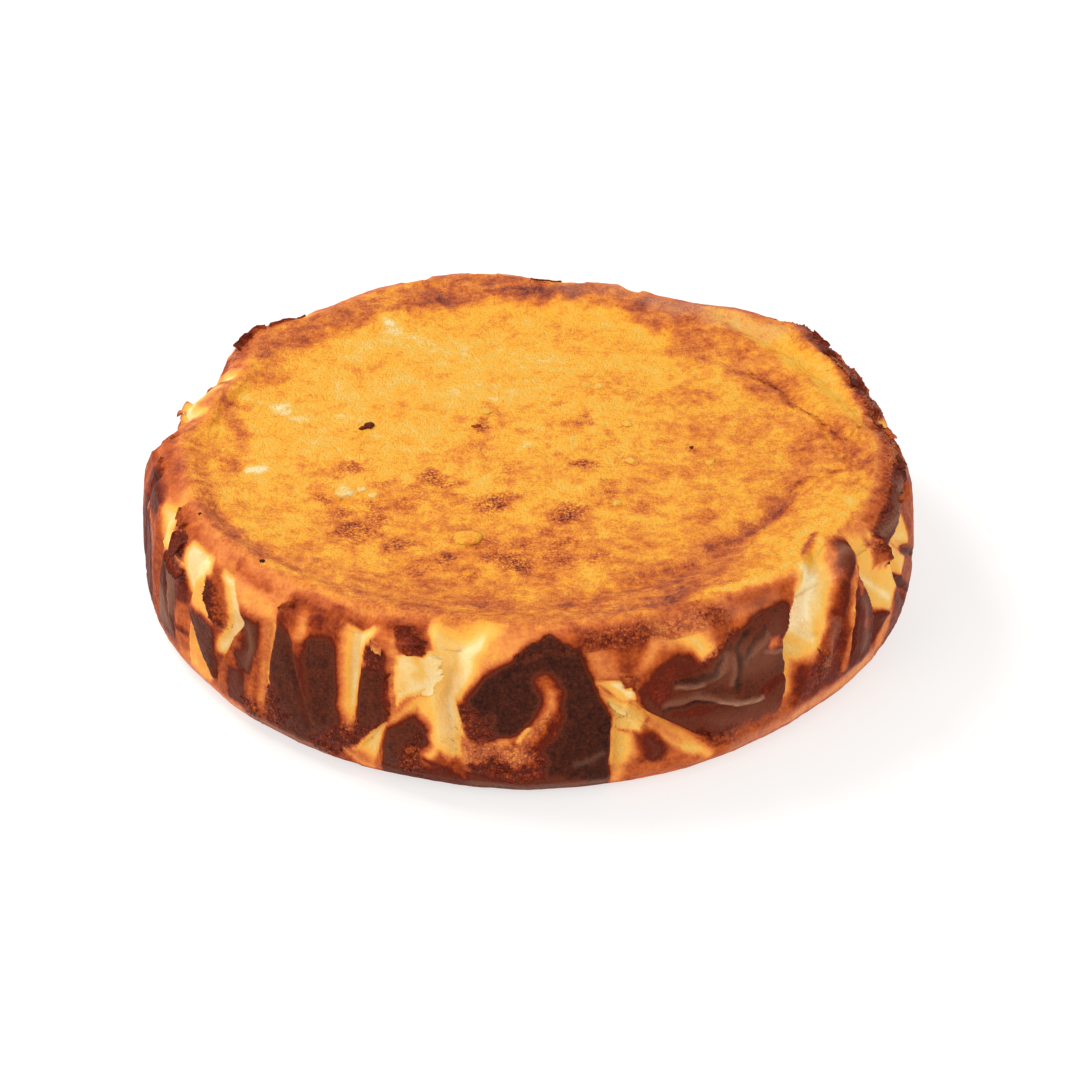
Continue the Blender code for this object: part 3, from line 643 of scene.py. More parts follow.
# %% List the side's dabs
SIDE_DABS = [
    # each row is a tone, soft, rag and path, and for a stroke its half width
    # the rim's outer edge and the foot
    (0.45, 4, 1.5, [(190, 54), (358, 54), (358, 47.5), (190, 47.5)]),
    (0.56, 4, 1, [(190, 7), (300, 7), (300, -4), (190, -4)]),
    (0.54, 4, 1, [(300, 9), (358, 9), (358, -4), (300, -4)]),
    (0.58, 1.6, 1.2, [(220.6, 50), (224, 50.2), (229, 49.6), (229, 48.4), (224.6, 48), (221, 48.8)]),
    (0.62, 2, 1.5, [(233, 50), (243, 49.8), (256, 51), (256, 47.6), (233, 47.6)]),
    (0.27, 2.4, 1, [(255.4, 49), (262, 48.6), (266, 49.4), (267, 52.5), (255.6, 52.5)]),
    (0.62, 2, 1.5, [(268, 46), (273, 49.8), (281, 49.4), (291, 48.2), (290, 47), (275, 46)]),
    (0.54, 2.4, 1.5, [(275, 52.5), (299, 52), (301, 49), (290, 49), (276, 50)]),
    (0.34, 2.4, 1, [(287.6, 50.6), (290.4, 50), (292.6, 45), (289.6, 44)]),
    (0.72, 0.9, 1, [(292, 50.7), (297, 50.2)], 0.4),
    (0.36, 2.4, 1, [(299, 50.4), (311, 51), (311, 53), (299, 53)]),
    (0.58, 1.4, 1, [(333, 50.4), (345, 50.8), (356, 51)], 0.7),
    (0.54, 3, 2, [(2, 52.5), (41, 52.5), (43, 47), (36, 46), (20, 45), (2, 46)]),
    (0.72, 1.6, 2, [(29, 49.4), (36, 50.4)], 1.3),
    (0.72, 1.6, 2, [(13.6, 49), (20, 50)], 0.9),
    (0.7, 1.4, 2, [(2, 49), (8, 50)], 0.7),
    (0.06, 2, 0.8, [(161, 50), (171.6, 49.6), (172, 45), (166, 43), (161, 45.4)]),
    (0.52, 3, 2, [(42, 52.5), (62, 52.5), (62, 46), (44, 45)]),
    # left end
    (0.54, 4, 1.5, [(178, 53), (190, 53), (198, 52), (197, 48), (178, 48)]),
    (0.68, 2.5, 1, [(186, 48), (194.6, 48), (197, 46.4), (196, 41), (186, 41)]),
    (0.94, 1.5, 0.8, [(187, 46), (193.6, 45), (196.4, 43.4)], 0.9),
    (0.74, 2, 0.4, [(186, 40), (194.6, 38), (197.2, 30), (197.2, 12), (192, 4), (186, 6)]),
    (0.92, 1.6, 0.5, [(192.4, 42), (194.4, 34), (195.6, 28), (195.2, 12)], 1.1),
    (0.5, 1.8, 0.5, [(190, 42), (195, 38.6), (197.6, 33), (197.9, 20)], 0.5),
    (0.57, 2.2, 0.5, [(198.2, 44), (201.8, 38), (201.4, 24), (199, 6), (197.8, 12), (198, 30)]),
    (0.46, 2, 0.5, [(200.8, 40), (202.4, 36), (201.8, 26)], 0.8),
    (0.25, 2.4, 0.5, [(197.8, 47), (200.6, 50), (204, 48), (206.2, 44), (205.2, 39.6), (202, 37.6),
        (200, 41)]),
    (0.09, 2.2, 0.5, [(198.6, 47), (201.4, 49.4), (204, 47), (203, 42), (200.6, 43)]),
    (0.1, 1.8, 0.4, [(203, 44.4), (205.8, 43.6), (204.9, 40.4), (203, 41)]),
    (0.56, 1.3, 1.2, [(201.4, 51.8), (206, 50.6), (211, 49.6), (211, 48), (207, 46.4), (204, 47),
        (202.4, 48.8)]),
    (0.5, 2.4, 0.6, [(208.8, 47.4), (212.6, 46.8), (212.4, 39), (209.2, 39.4)]),
    (0.74, 0.8, 1.2, [(206, 43.5), (207, 47), (209.6, 46.4), (209.2, 43), (208.4, 40.6), (206, 41)]),
    # a pale stroke along the lower edge of the dark flake, a painted highlight
    (0.24, 0.8, 0.3, [(206.6, 40.3), (210.2, 40.6)], 0.35),
    (0.72, 0.8, 1, [(204.7, 38.6), (205.6, 36), (211, 35.4), (211, 38), (208, 39), (206.4, 39.4)]),
    (0.8, 1.6, 0.8, [(202.8, 34.8), (208.6, 35.6), (208.4, 28), (207.2, 20), (207, 12), (203, 9.4),
        (199.4, 10), (200.8, 20), (201.9, 28)]),
    (0.92, 1.6, 0.6, [(203.8, 34), (204.6, 28.6)], 1),
    (0.7, 1.4, 0.6, [(207.5, 24.6), (206.8, 17)], 0.6),
    (0.68, 2, 0.8, [(208.8, 36.4), (211.4, 36), (211.2, 25), (208.6, 23)]),
    (0.52, 2, 0.8, [(208.2, 26), (211.9, 29), (211.3, 8), (207.6, 4), (207.2, 13)]),
    (0.7, 1.8, 0.8, [(207.8, 17.4), (210.6, 16.6)], 1),
    (0.42, 2, 0.6, [(208, 10), (211, 9.4), (210.4, 3), (207.6, 3)]),
    (0.31, 0.9, 0.2, [(212.3, 31), (211.8, 18), (210.5, 8)], 0.4),
    (0.3, 2, 0.4, [(211, 47.6), (213.6, 47), (213.4, 40), (212, 36)]),
    (0.29, 1.8, 0.5, [(214.6, 44.6), (217.4, 43.6), (219.2, 36), (219.4, 31.2), (213.6, 31.4),
        (213.8, 38)]),
    (0.04, 1.6, 0.4, [(210.6, 47.6), (213, 48.6), (216.6, 47.6), (217.6, 45.4), (216.4, 42.8),
        (214.9, 40.4), (213.6, 36), (212.9, 31.5), (212, 33), (210.9, 38), (210.3, 43)]),
    (0.52, 2, 0.5, [(219.6, 44), (221.8, 38), (222.4, 32), (220.4, 29), (219.8, 34)]),
    # a cream stroke on the west side of the ridge, a painted highlight
    (0.07, 0.9, 0.3, [(217, 40.4), (218.2, 36.2), (219.3, 32.6)], 0.5),
    (0.56, 2.4, 0.6, [(216.8, 43.2), (218.2, 43.9), (220.2, 42), (221, 38), (221.4, 33.4), (220.6, 30.4),
        (219.4, 31.4), (218.7, 35), (217.5, 39)]),
    (0.78, 0.9, 0.6, [(216.8, 43), (218.2, 43.4), (219.4, 40), (220, 37), (220.4, 32), (219.4, 31.8),
        (218.7, 35), (217.5, 39)]),
    (0.85, 1.2, 0.8, [(212.7, 27.2), (214.4, 29.4), (217.4, 29.6), (219.5, 29), (219.3, 20), (219.5, 12),
        (217.8, 9.4), (215.6, 17), (213.6, 23.4)]),
    (0.68, 1, 1, [(213.4, 29), (216.4, 30.2), (219.2, 29.4)], 0.7),
    (0.33, 0.9, 0.3, [(212.5, 26.8), (213.6, 22.8), (215.8, 16.4), (218, 9.4), (216, 5), (210.8, 6),
        (211.9, 18)]),
    # up to the first broad flat
    (0.36, 3, 0.5, [(219.4, 48), (224, 48.2), (231.8, 47.2), (231.8, 41), (226, 41), (222, 44)]),
    (0.6, 2.6, 0.8, [(224.2, 41), (229.6, 40.8), (229.4, 38), (225.8, 38)]),
    (0.06, 1.6, 0.3, [(219.2, 47.6), (221.8, 47.6), (224.4, 42), (226.2, 36.8), (224.5, 30), (222.4, 24),
        (219.8, 18.6), (219.9, 24.6), (221.6, 31), (222.3, 36), (221.4, 41)]),
    (0.23, 1.8, 0.4, [(221.2, 43), (222.4, 37), (222.1, 31), (220.8, 26)], 0.5),
    (0.6, 1.5, 0.6, [(219.5, 21), (221.4, 21), (220.4, 13), (218.6, 8)]),
    (0.76, 1.2, 0.8, [(218.3, 13), (219.8, 10.4)], 0.8),
    (0.56, 1.2, 0.5, [(226.2, 36.2), (223.8, 27), (221.6, 18), (220, 8)], (1.1, 2.2)),
    (0.83, 1.7, 0.8, [(225.4, 39), (229.2, 39), (228.8, 30), (227.5, 22), (225.2, 21), (225.1, 26),
        (226.7, 34)]),
    (0.8, 1.7, 0.8, [(223.6, 20), (226.2, 20), (226.2, 12), (225.2, 8), (222.2, 8), (222.8, 14)]),
    (0.63, 1.2, 0.4, [(226.9, 35), (225.8, 28)], 0.6),
    (0.47, 1.7, 0.5, [(229.4, 41), (231.9, 41), (231.3, 28), (230.3, 18), (228.8, 8), (226.6, 8),
        (227.8, 20), (229.1, 30)]),
    (0.6, 1.4, 0.6, [(229.2, 28), (228.6, 20), (227.6, 10)], 0.5),
    (0.4, 1.2, 0.4, [(230, 26), (229.4, 18), (228.6, 12)], 0.4),
    (0.3, 1, 0.3, [(231.8, 40), (231.2, 28), (230.4, 19)], 0.6),
    (0.47, 2.4, 0.6, [(203, 7), (214, 6.6), (229, 6), (229, -3), (203, -3)]),
    (0.62, 2.4, 1, [(225, 8), (232, 7), (238, 6), (243, 5), (249, 3), (249, -3), (225, -3)]),
    (0.74, 1, 1.4, [(226.2, 12), (227.4, 6)], 0.9),
    (0.72, 1.2, 1.4, [(230.2, 7), (230.8, 20), (232.4, 22), (234.6, 12), (233.4, 5.6)]),
    (0.1, 0.7, 0.4, [(230.8, 23.2), (231.3, 21.8)], 0.6),
    (0.63, 1.8, 1.1, [(232.1, 45.6), (233.4, 48.2), (237, 48.6), (243.2, 48), (243.4, 42), (232.3, 42)]),
    (0.87, 1.8, 0.7, [(232.2, 43), (234, 41.8), (236, 38.4), (238, 41.6), (241, 43), (243, 40.5),
        (243.2, 30), (243.4, 20), (242.6, 13), (239.4, 7.4), (236, 5.4), (233, 7), (231.8, 20), (231.6, 28),
        (232.1, 38)]),
    (0.5, 3, 0.6, [(236.2, 46), (236.5, 38)], 1.7),
    (0.4, 3, 0.6, [(236.5, 45.4), (236.9, 41)], 1.2),
    (0.64, 2.4, 0.5, [(236.4, 38), (237.3, 31), (237.5, 24)], 1.2),
    (0.79, 1.3, 0.5, [(234.6, 39), (235.9, 30), (237.2, 21), (238.8, 11)], 0.6),
    (0.7, 0.9, 0.5, [(236.8, 28.9), (237.2, 27.9)], 0.5),
    (0.74, 1.1, 1.6, [(238.2, 8.6), (242, 13.6), (246.6, 19.4), (248.6, 19), (245, 11), (242.6, 5.8),
        (239, 4.6)]),
    (0.52, 1.8, 0.4, [(242.5, 48.4), (248.6, 49), (247.6, 42), (246.7, 30), (245.9, 17), (244.2, 13),
        (243.1, 24), (242.7, 38)]),
    (0.27, 1.5, 0.3, [(243.2, 48), (248.2, 48.6), (246.9, 42), (246.3, 30), (245.5, 19), (244.4, 16),
        (243.7, 24), (243.4, 36)]),
    (0.08, 1.4, 0.3, [(244.2, 47.6), (247.5, 48), (246.1, 42), (245.9, 30), (245.2, 23), (244.6, 21),
        (244.5, 26), (244.2, 36)]),
    (0.5, 2, 0.8, [(247.8, 48.6), (251, 48), (250.9, 42), (248.8, 42)]),
    (0.72, 1.4, 1.2, [(247.1, 44), (249.8, 43), (250.4, 36), (246.9, 35)]),
    (0.86, 1.4, 0.6, [(246.6, 37), (249.6, 36), (250.2, 29), (250.5, 22.4), (247.6, 16.4), (245.8, 12),
        (246.1, 22), (246.5, 30)]),
    (0.32, 0.8, 0.6, [(248.3, 44.6), (249.1, 43.2)], 0.5),
    # the torn place and the narrow flat under it
    (0.42, 1.8, 0.5, [(250.3, 48), (251.9, 45), (252, 30), (251, 23.6), (250.6, 24), (250.6, 36)]),
    (0.78, 0.9, 1.2, [(249.8, 37), (249.9, 29), (250.4, 24.2)], 0.8),
    (0.18, 2.2, 0.6, [(254, 43), (256.6, 45), (262, 44), (261, 36), (260, 29), (256.6, 28), (254, 29)]),
    (0.07, 1, 1.2, [(251.4, 42), (254.5, 42.8), (256.4, 44.8), (258, 42.6), (257.9, 37), (256.2, 32.4),
        (253.4, 29), (251.6, 26.4), (251.5, 33)]),
    (0.2, 2.6, 1.2, [(254.2, 41.6), (255.4, 38), (254, 35.6)], (1.4, 0.8)),
    (0.14, 2.2, 1.2, [(252.2, 37), (252.6, 31)], 1),
    (0.6, 0.8, 1, [(250.4, 50), (253, 49), (255.9, 46.6), (255.2, 43.2), (252.6, 42), (251.2, 45)]),
    (0.72, 1.4, 1, [(250.8, 48.6), (252.8, 46.6), (255.2, 44.4)], 0.6),
    (0.22, 1.6, 0.5, [(250.8, 22), (253.4, 28), (255.6, 30.4), (257.8, 27), (258.2, 16), (257, 12),
        (249, 4)]),
    # a darker stroke under the lower edge of the torn crumb, a painted shadow
    (0.46, 0.9, 0.5, [(251.2, 24.8), (253, 28.4), (256, 32.6)], 0.5),
    (0.54, 1.8, 0.5, [(249.8, 19), (252.6, 24.6), (254.9, 28.2), (257.2, 22), (257.2, 16), (255.6, 11),
        (249, 3)]),
    (0.12, 0.9, 0.3, [(250.4, 21.8), (249.2, 13), (248, 4.6), (245.8, 5.4), (245, 9), (247.6, 15.4)]),
    (0.44, 2.6, 0.5, [(245.2, 9.4), (248.6, 8.4), (248.2, 3), (244.6, 3)]),
    (0.24, 1.6, 0.5, [(245.8, 9.6), (247.4, 13.4)], 0.6),
    (0.36, 1.4, 0.5, [(244, 8.6), (245.4, 4.4), (247.8, 4)], 0.7),
    (0.85, 1.4, 0.6, [(250.6, 19.6), (252.4, 22.8), (254.6, 26.6), (256.2, 22), (256.5, 17), (255, 14.6),
        (253.6, 14), (253, 2), (249.6, 2), (249.9, 12)]),
    (0.6, 1.2, 1.2, [(253.4, 17), (255.4, 15.4), (255.4, 6), (252.8, 4.6), (252.4, 10)]),
    (0.13, 1.6, 0.4, [(255.6, 50), (265.2, 50.4), (262.9, 40), (260.4, 31), (260.6, 26), (261.4, 20),
        (261.6, 12.6), (259.4, 11.6), (257.2, 18), (257.2, 26), (256.8, 31), (258, 36), (258, 42)]),
    (0.05, 2.4, 0.4, [(259.6, 48.4), (264.4, 49.4), (262.4, 40), (260, 32), (260.2, 24), (259.4, 16),
        (258, 20), (258, 26), (259, 33), (260.4, 40)]),
    (0.7, 1.2, 0.9, [(255.4, 11.6), (257.4, 10.4), (259.4, 8.8)], 0.8),
    (0.78, 1.8, 0.6, [(255, 8), (258, 9), (260.6, 7.4), (262, 4), (262, -3), (250, -3), (250, 3)]),
    # the flat at the very front
    (0.35, 3, 0.6, [(264.6, 50), (270, 49.6), (269, 45), (265, 41), (262, 36), (262.8, 43)]),
    (0.82, 1.6, 0.5, [(261.8, 8.6), (265, 8), (272, 8.4), (281, 8), (281, -3), (262, -3)]),
    (0.38, 1.4, 0.6, [(260.8, 20.6), (264, 18), (266, 20.6), (270, 20), (271, 13), (267, 9.4), (262, 9),
        (260.8, 13)]),
    (0.72, 1.6, 1.5, [(262.2, 11), (264, 12.8), (266, 12.8), (268.6, 11.6), (271.8, 15.6), (273, 11),
        (270.6, 7), (268.6, 5), (266, 5), (263, 7.6)]),
    (0.6, 3.2, 0.8, [(260.6, 31), (265, 42), (269.4, 46), (272, 49), (277.4, 47.4), (276, 40), (266, 30)]),
    (0.72, 2, 1.2, [(260.2, 30.4), (263, 32), (265.6, 26), (265.4, 19.6), (262.8, 18.4), (261.4, 23)]),
    (0.94, 2, 0.6, [(264, 39.6), (268.8, 45), (273, 48), (277.2, 46.4), (279, 38), (281.6, 24.4),
        (281, 4.6), (272.4, 8.4), (272.2, 15), (269, 20.8), (265.8, 21), (263.6, 25), (262, 32)]),
    (0.68, 0.6, 0.3, [(277.2, 47), (279.3, 36.6), (281.6, 24.8), (281.2, 14)], 0.3),
    (0.95, 0.8, 1.6, [(268.6, 44.8), (270.6, 47), (272.4, 48.6), (274.4, 48.4), (277, 46.2)], 0.8),
    (0.64, 3, 0.5, [(272.2, 38), (273.4, 33.6), (273, 28.4), (271.4, 23), (269.4, 18.6)], (3, 3.2)),
    (0.57, 2.6, 0.5, [(272.2, 37.6), (273.3, 33.4), (272.9, 28.4), (271.2, 23), (269, 18.4)], (2, 2.6)),
    (0.37, 2.2, 0.6, [(273, 34), (273, 29), (271.6, 24.4), (269.4, 19.4)], (0.9, 1.7)),
    (0.66, 1, 1.6, [(274.6, 27), (273.4, 22.4), (271.8, 18)], 0.7),
    (0.12, 0.9, 0.3, [(269.9, 23), (268.7, 19)], 0.6),
    (0.34, 1.2, 0.8, [(267.6, 17.6), (269.6, 17.4), (269.6, 13), (267.8, 13)]),
    # the notch
    (0.46, 2.2, 0.5, [(277.7, 46.6), (281, 47), (283.4, 45), (284.6, 38), (281, 36.4), (279.4, 37)]),
    (0.4, 2.4, 0.5, [(279.4, 44), (280.6, 39.6)], 0.9),
    (0.6, 3, 0.8, [(281, 48.4), (287.4, 48.4), (286, 41.6), (284, 37.6), (282.6, 40)]),
    (0.4, 2.4, 0.6, [(284.8, 38), (287, 41.4), (289.4, 45.4), (290, 50), (287.4, 47), (286, 43)]),
    (0.16, 1.6, 0.4, [(280, 33), (282.4, 30), (284.8, 28.6), (287, 24), (285, 20), (281.6, 20),
        (281.7, 24.6)]),
    (0.04, 0.9, 0.3, [(279.6, 36), (282.5, 36.3), (284.4, 34), (284.5, 29.4), (282.9, 30), (281, 33.6)]),
    (0.58, 0.7, 1, [(282.8, 37.8), (284.8, 37.6), (284.4, 33.6), (282.9, 34)]),
    (0.1, 0.5, 0.3, [(283.8, 36), (283.9, 34)], 0.5),
    (0.33, 1, 0.3, [(279.4, 36), (281, 31), (283.6, 29.6)], 0.5),
    (0.36, 1.8, 0.5, [(281.2, 20.6), (284.8, 20), (285.4, 12), (285, 3), (281.2, 3)]),
    (0.18, 1.8, 0.5, [(281.4, 20), (284, 18), (284.2, 10), (281.5, 9)]),
    (0.52, 2.6, 0.5, [(284, 12), (290, 15), (297, 7), (297, 1), (282, 1)]),
    (0.3, 1.8, 0.3, [(280.8, 35), (285.6, 26.4), (289.6, 18), (295.8, 7)], (0.5, 1.8)),
    (0.46, 1.2, 0.3, [(286.2, 26.6), (290.8, 18.6), (296.6, 8.4)], (0.2, 0.5)),
    (0.22, 1.6, 0.3, [(286.4, 21.6), (290, 14), (293.4, 8.4)], (0.3, 0.7)),
    (0.08, 1.2, 0.3, [(292, 11), (294.6, 8)], 0.5),
    (0.7, 2.6, 0.6, [(284.5, 19.6), (287.4, 19), (289.4, 13), (288.4, 9.6), (285.2, 10.4), (285.4, 14)]),
    (0.85, 1.6, 0.5, [(286.2, 17.4), (287.4, 13.6), (287, 11)], 0.6),
    # the wrinkled flat at the front right
    (0.38, 3, 0.5, [(289, 51), (296.6, 51), (297.6, 45), (297, 38), (293, 40), (291, 44)]),
    (0.13, 2.8, 0.5, [(291.6, 45.6), (293.6, 42), (295.2, 37.6), (296, 40.6), (294.6, 46)]),
    (0.56, 2.8, 0.8, [(296.6, 50), (301, 49.4), (300.4, 43.4), (297.8, 38), (296.8, 42)]),
    (0.84, 1.6, 0.7, [(285.3, 33), (287.4, 39), (291, 42), (293, 40), (294, 36.4), (297, 36.6),
        (300.6, 43.6), (303, 47), (309.6, 47), (309.6, 41), (307.6, 36), (309, 28), (308.4, 20), (307, 12),
        (300, 9), (297, 11), (291, 19), (286, 26.6)]),
    (0.76, 1, 1.5, [(293.6, 34.6), (297.4, 36), (300.7, 43.4)], 1.2),
    (0.7, 3.4, 0.8, [(285.4, 33), (287.8, 39.4), (291, 41.8), (293.8, 39), (293.6, 33), (291, 29.6),
        (287.4, 27)]),
    (0.79, 3, 0.8, [(291, 33.6), (294, 35), (297, 33), (300, 40), (303.4, 45), (309.4, 45), (308, 37),
        (308, 31), (300, 27), (293, 28.6), (289.6, 28)]),
    (0.71, 2.6, 0.8, [(288.4, 25.6), (293, 26.4), (297.6, 24.4), (300, 21.6), (296, 19.6), (290, 22)]),
    (0.7, 1.6, 0.8, [(304, 22), (306.6, 24.6), (308.8, 26), (308.8, 23)], 0.8),
    (0.76, 3, 0.8, [(292, 17.6), (298, 18), (304, 17.6), (308, 20), (308.4, 13), (297, 13)]),
    (0.58, 4, 1, [(294.6, 11.6), (300, 13), (308.6, 15), (308.6, 8), (296.4, 7)]),
    # the near-black strokes along this flat's creases paint the shade in them
    (1, 1.4, 0.6, [(301.6, 43), (300.2, 38.6), (300.7, 32), (300.3, 26)], 0.9),
    (0.66, 1.6, 0.6, [(299.7, 37), (300, 31)], 0.4),
    (0.98, 1.4, 0.6, [(301.6, 33), (302.4, 38.6), (304.8, 42.6)], 0.8),
    (0.97, 1.2, 0.8, [(290.4, 33.6), (293.6, 32.4), (296.4, 32.2), (298, 36), (299.2, 41)], 0.7),
    (0.93, 1.2, 0.8, [(288.8, 25.2), (293, 25.4), (296.4, 23.4)], 0.7),
    (0.74, 1.6, 0.6, [(299.2, 36), (299.4, 31), (299.2, 27)], 0.5),
    (0.7, 1.2, 1, [(304, 22), (306.4, 24.6), (308.8, 26), (308.8, 22.6), (305, 19.6)]),
    (0.62, 1, 1.2, [(294.4, 14.6), (295.8, 12.6), (297.4, 8.4), (300, 7.4)], 0.8),
    (0.46, 2.6, 0.5, [(305, 40.4), (307, 38.6), (307.4, 35.4), (305.2, 34.6)]),
    (0.54, 2.4, 0.8, [(297, 8), (309, 8.6), (316, 9), (331, 9.6), (331, -3), (297, -3)]),
    # a paler stroke along the foot, painted light from the floor
    (0.4, 3, 0.8, [(309, 6), (316, 7), (330, 8)], 1.6),
    # the pale fold and the narrow facets at the right
    (0.58, 1.8, 0.5, [(300.6, 49.4), (306, 47.4), (311.6, 47), (313, 50), (308, 51), (301, 51.4)]),
    (0.26, 2.2, 0.4, [(309, 32), (314.6, 32), (315.2, 27), (311.6, 23), (310.2, 14), (308.6, 12)]),
    (0.2, 2.4, 0.4, [(315.4, 52), (321.6, 52), (319.8, 46), (317.8, 40), (316.4, 33), (314.8, 29)]),
    (0.13, 2.6, 0.5, [(309.4, 32), (311.8, 28), (311.4, 22)], (2.4, 0.6)),
    (0.07, 3.2, 0.3, [(317, 52), (312.6, 47), (310, 42), (308.3, 35.4), (310.6, 33), (314, 29), (315.2, 36),
        (317, 43), (319.4, 51)]),
    (-0.06, 2.2, 0.3, [(317, 52), (312.4, 47), (310, 42), (308, 37), (309, 36), (312.6, 36.4), (314, 39),
        (315.4, 44), (317.8, 50)]),
    (0.46, 2, 0.5, [(310.4, 26), (314.2, 27), (313.4, 23.6), (310.6, 18)]),
    (0.5, 1.6, 0.5, [(308.2, 14), (310.6, 15), (310.6, 6), (308, 6)]),
    (0.68, 2.6, 0.8, [(311.6, 24.6), (315, 23.4), (315, 12), (310.8, 11.6), (311, 18)]),
    (0.66, 2.4, 1.4, [(317, 39), (320.6, 46), (324, 50.4), (327, 50), (322, 42.6), (320, 33), (318, 23),
        (315, 23.4), (316.2, 31)]),
    (0.78, 1.8, 1, [(318.6, 34), (320.2, 41), (322.6, 46.6), (325.6, 50.4)], (0.8, 1.6)),
    (0.68, 2.2, 0.6, [(317.6, 34), (319.8, 35), (320.2, 24), (320.6, 11), (312, 10.4), (313, 20),
        (316.4, 22)]),
    (0.62, 1.4, 0.8, [(316.6, 30), (317.4, 22), (317.8, 15)], 0.8),
    (0.55, 1.8, 0.5, [(321, 44.4), (325.4, 46), (325.6, 39), (324, 30.6), (321.4, 31), (321.2, 38)]),
    (0.4, 1.2, 0.3, [(325.6, 46.6), (322.6, 42), (320.9, 35), (320.7, 24), (320.8, 14)], (0.7, 0.4)),
    (0.76, 1.8, 0.6, [(323.6, 41), (323.9, 35), (322.8, 29), (322.4, 20), (322.2, 13)], (1, 1.2)),
    # a pale stroke on the ridge, a painted highlight
    (0.18, 0.9, 0.3, [(321.4, 35.6), (323, 31.4)], 0.5),
    (0.74, 1.6, 0.5, [(323.6, 33), (325.6, 37), (328, 31), (329, 20), (328.6, 11), (322, 11), (323, 22)]),
    (0.92, 1.4, 0.5, [(322.2, 31), (322.4, 20), (322, 12.6)], 0.9),
    (0.6, 1.6, 0.6, [(325.6, 30), (326.4, 22)], 1),
    (0.84, 1.5, 0.6, [(328.4, 31.4), (326.6, 36.4)], 0.6),
    (0.2, 1.6, 0.3, [(327.6, 50.4), (325.5, 42), (326.2, 38), (328.4, 30.4), (329.4, 26), (332, 23),
        (335.2, 19.4), (337, 26), (341, 25), (346, 30), (346, 42), (341, 43), (335, 43), (333, 41),
        (330, 38), (330, 44), (332.4, 48.6)]),
    (0.04, 2, 0.4, [(326.4, 39), (329.6, 34), (334.2, 24)], 1.1),
    (0.5, 1.6, 0.4, [(328.8, 29), (329.8, 20), (329.6, 14)], 0.6),
    (0.48, 2.4, 0.5, [(330.4, 48.6), (331, 42), (331.6, 37.6)], 0.6),
    (0.78, 2, 0.5, [(332, 44), (332.4, 48), (333.4, 48), (333.3, 42), (333, 36.6), (332.4, 38.6)]),
    (0.06, 1, 0.3, [(333.4, 41), (337.6, 42.4), (338, 36), (334.4, 34)]),
    (0.45, 1.6, 0.5, [(336.6, 42), (340, 34), (343, 29)], 0.5),
    (0.1, 1.6, 0.5, [(339, 42), (342, 36), (345, 33)], 0.8),
    (0.72, 1, 0.6, [(333, 47.8), (337, 49.4), (345, 49.4), (353, 49.4), (353, 45), (343, 43.8), (336, 43.2),
        (333, 41.8)]),
    (0.76, 1.2, 0.8, [(330, 23.6), (331.4, 22.8), (334.9, 18.8), (332.6, 17.6), (331, 13), (329, 12.4)]),
    (0.45, 1.8, 0.5, [(331.4, 12), (333, 17.4), (335.4, 18.6), (337, 24), (338, 12), (335, 8), (331, 9)]),
    (0.66, 2.2, 0.6, [(336.4, 25), (339, 23), (345, 14), (350, 4), (334, 4), (336, 12)]),
    (0.6, 2, 0.6, [(341.6, 24), (348, 20), (356, 10), (356, 4), (349, 6), (343, 16)]),
    (0.84, 1.2, 0.5, [(338.8, 27), (342, 20), (351, 6)], 0.7),
    (0.76, 1.2, 0.5, [(340.6, 33), (348, 24), (356, 14)], 0.8),
]
print(len(SIDE_DABS), "dabs on the side")

# %% [markdown]
# ## The tones of the top
# The top is golden in the dish, more orange to the front, and orange-brown on the rim, with brown
# marks where bubbles dried and a few pale places where the skin stayed moist.

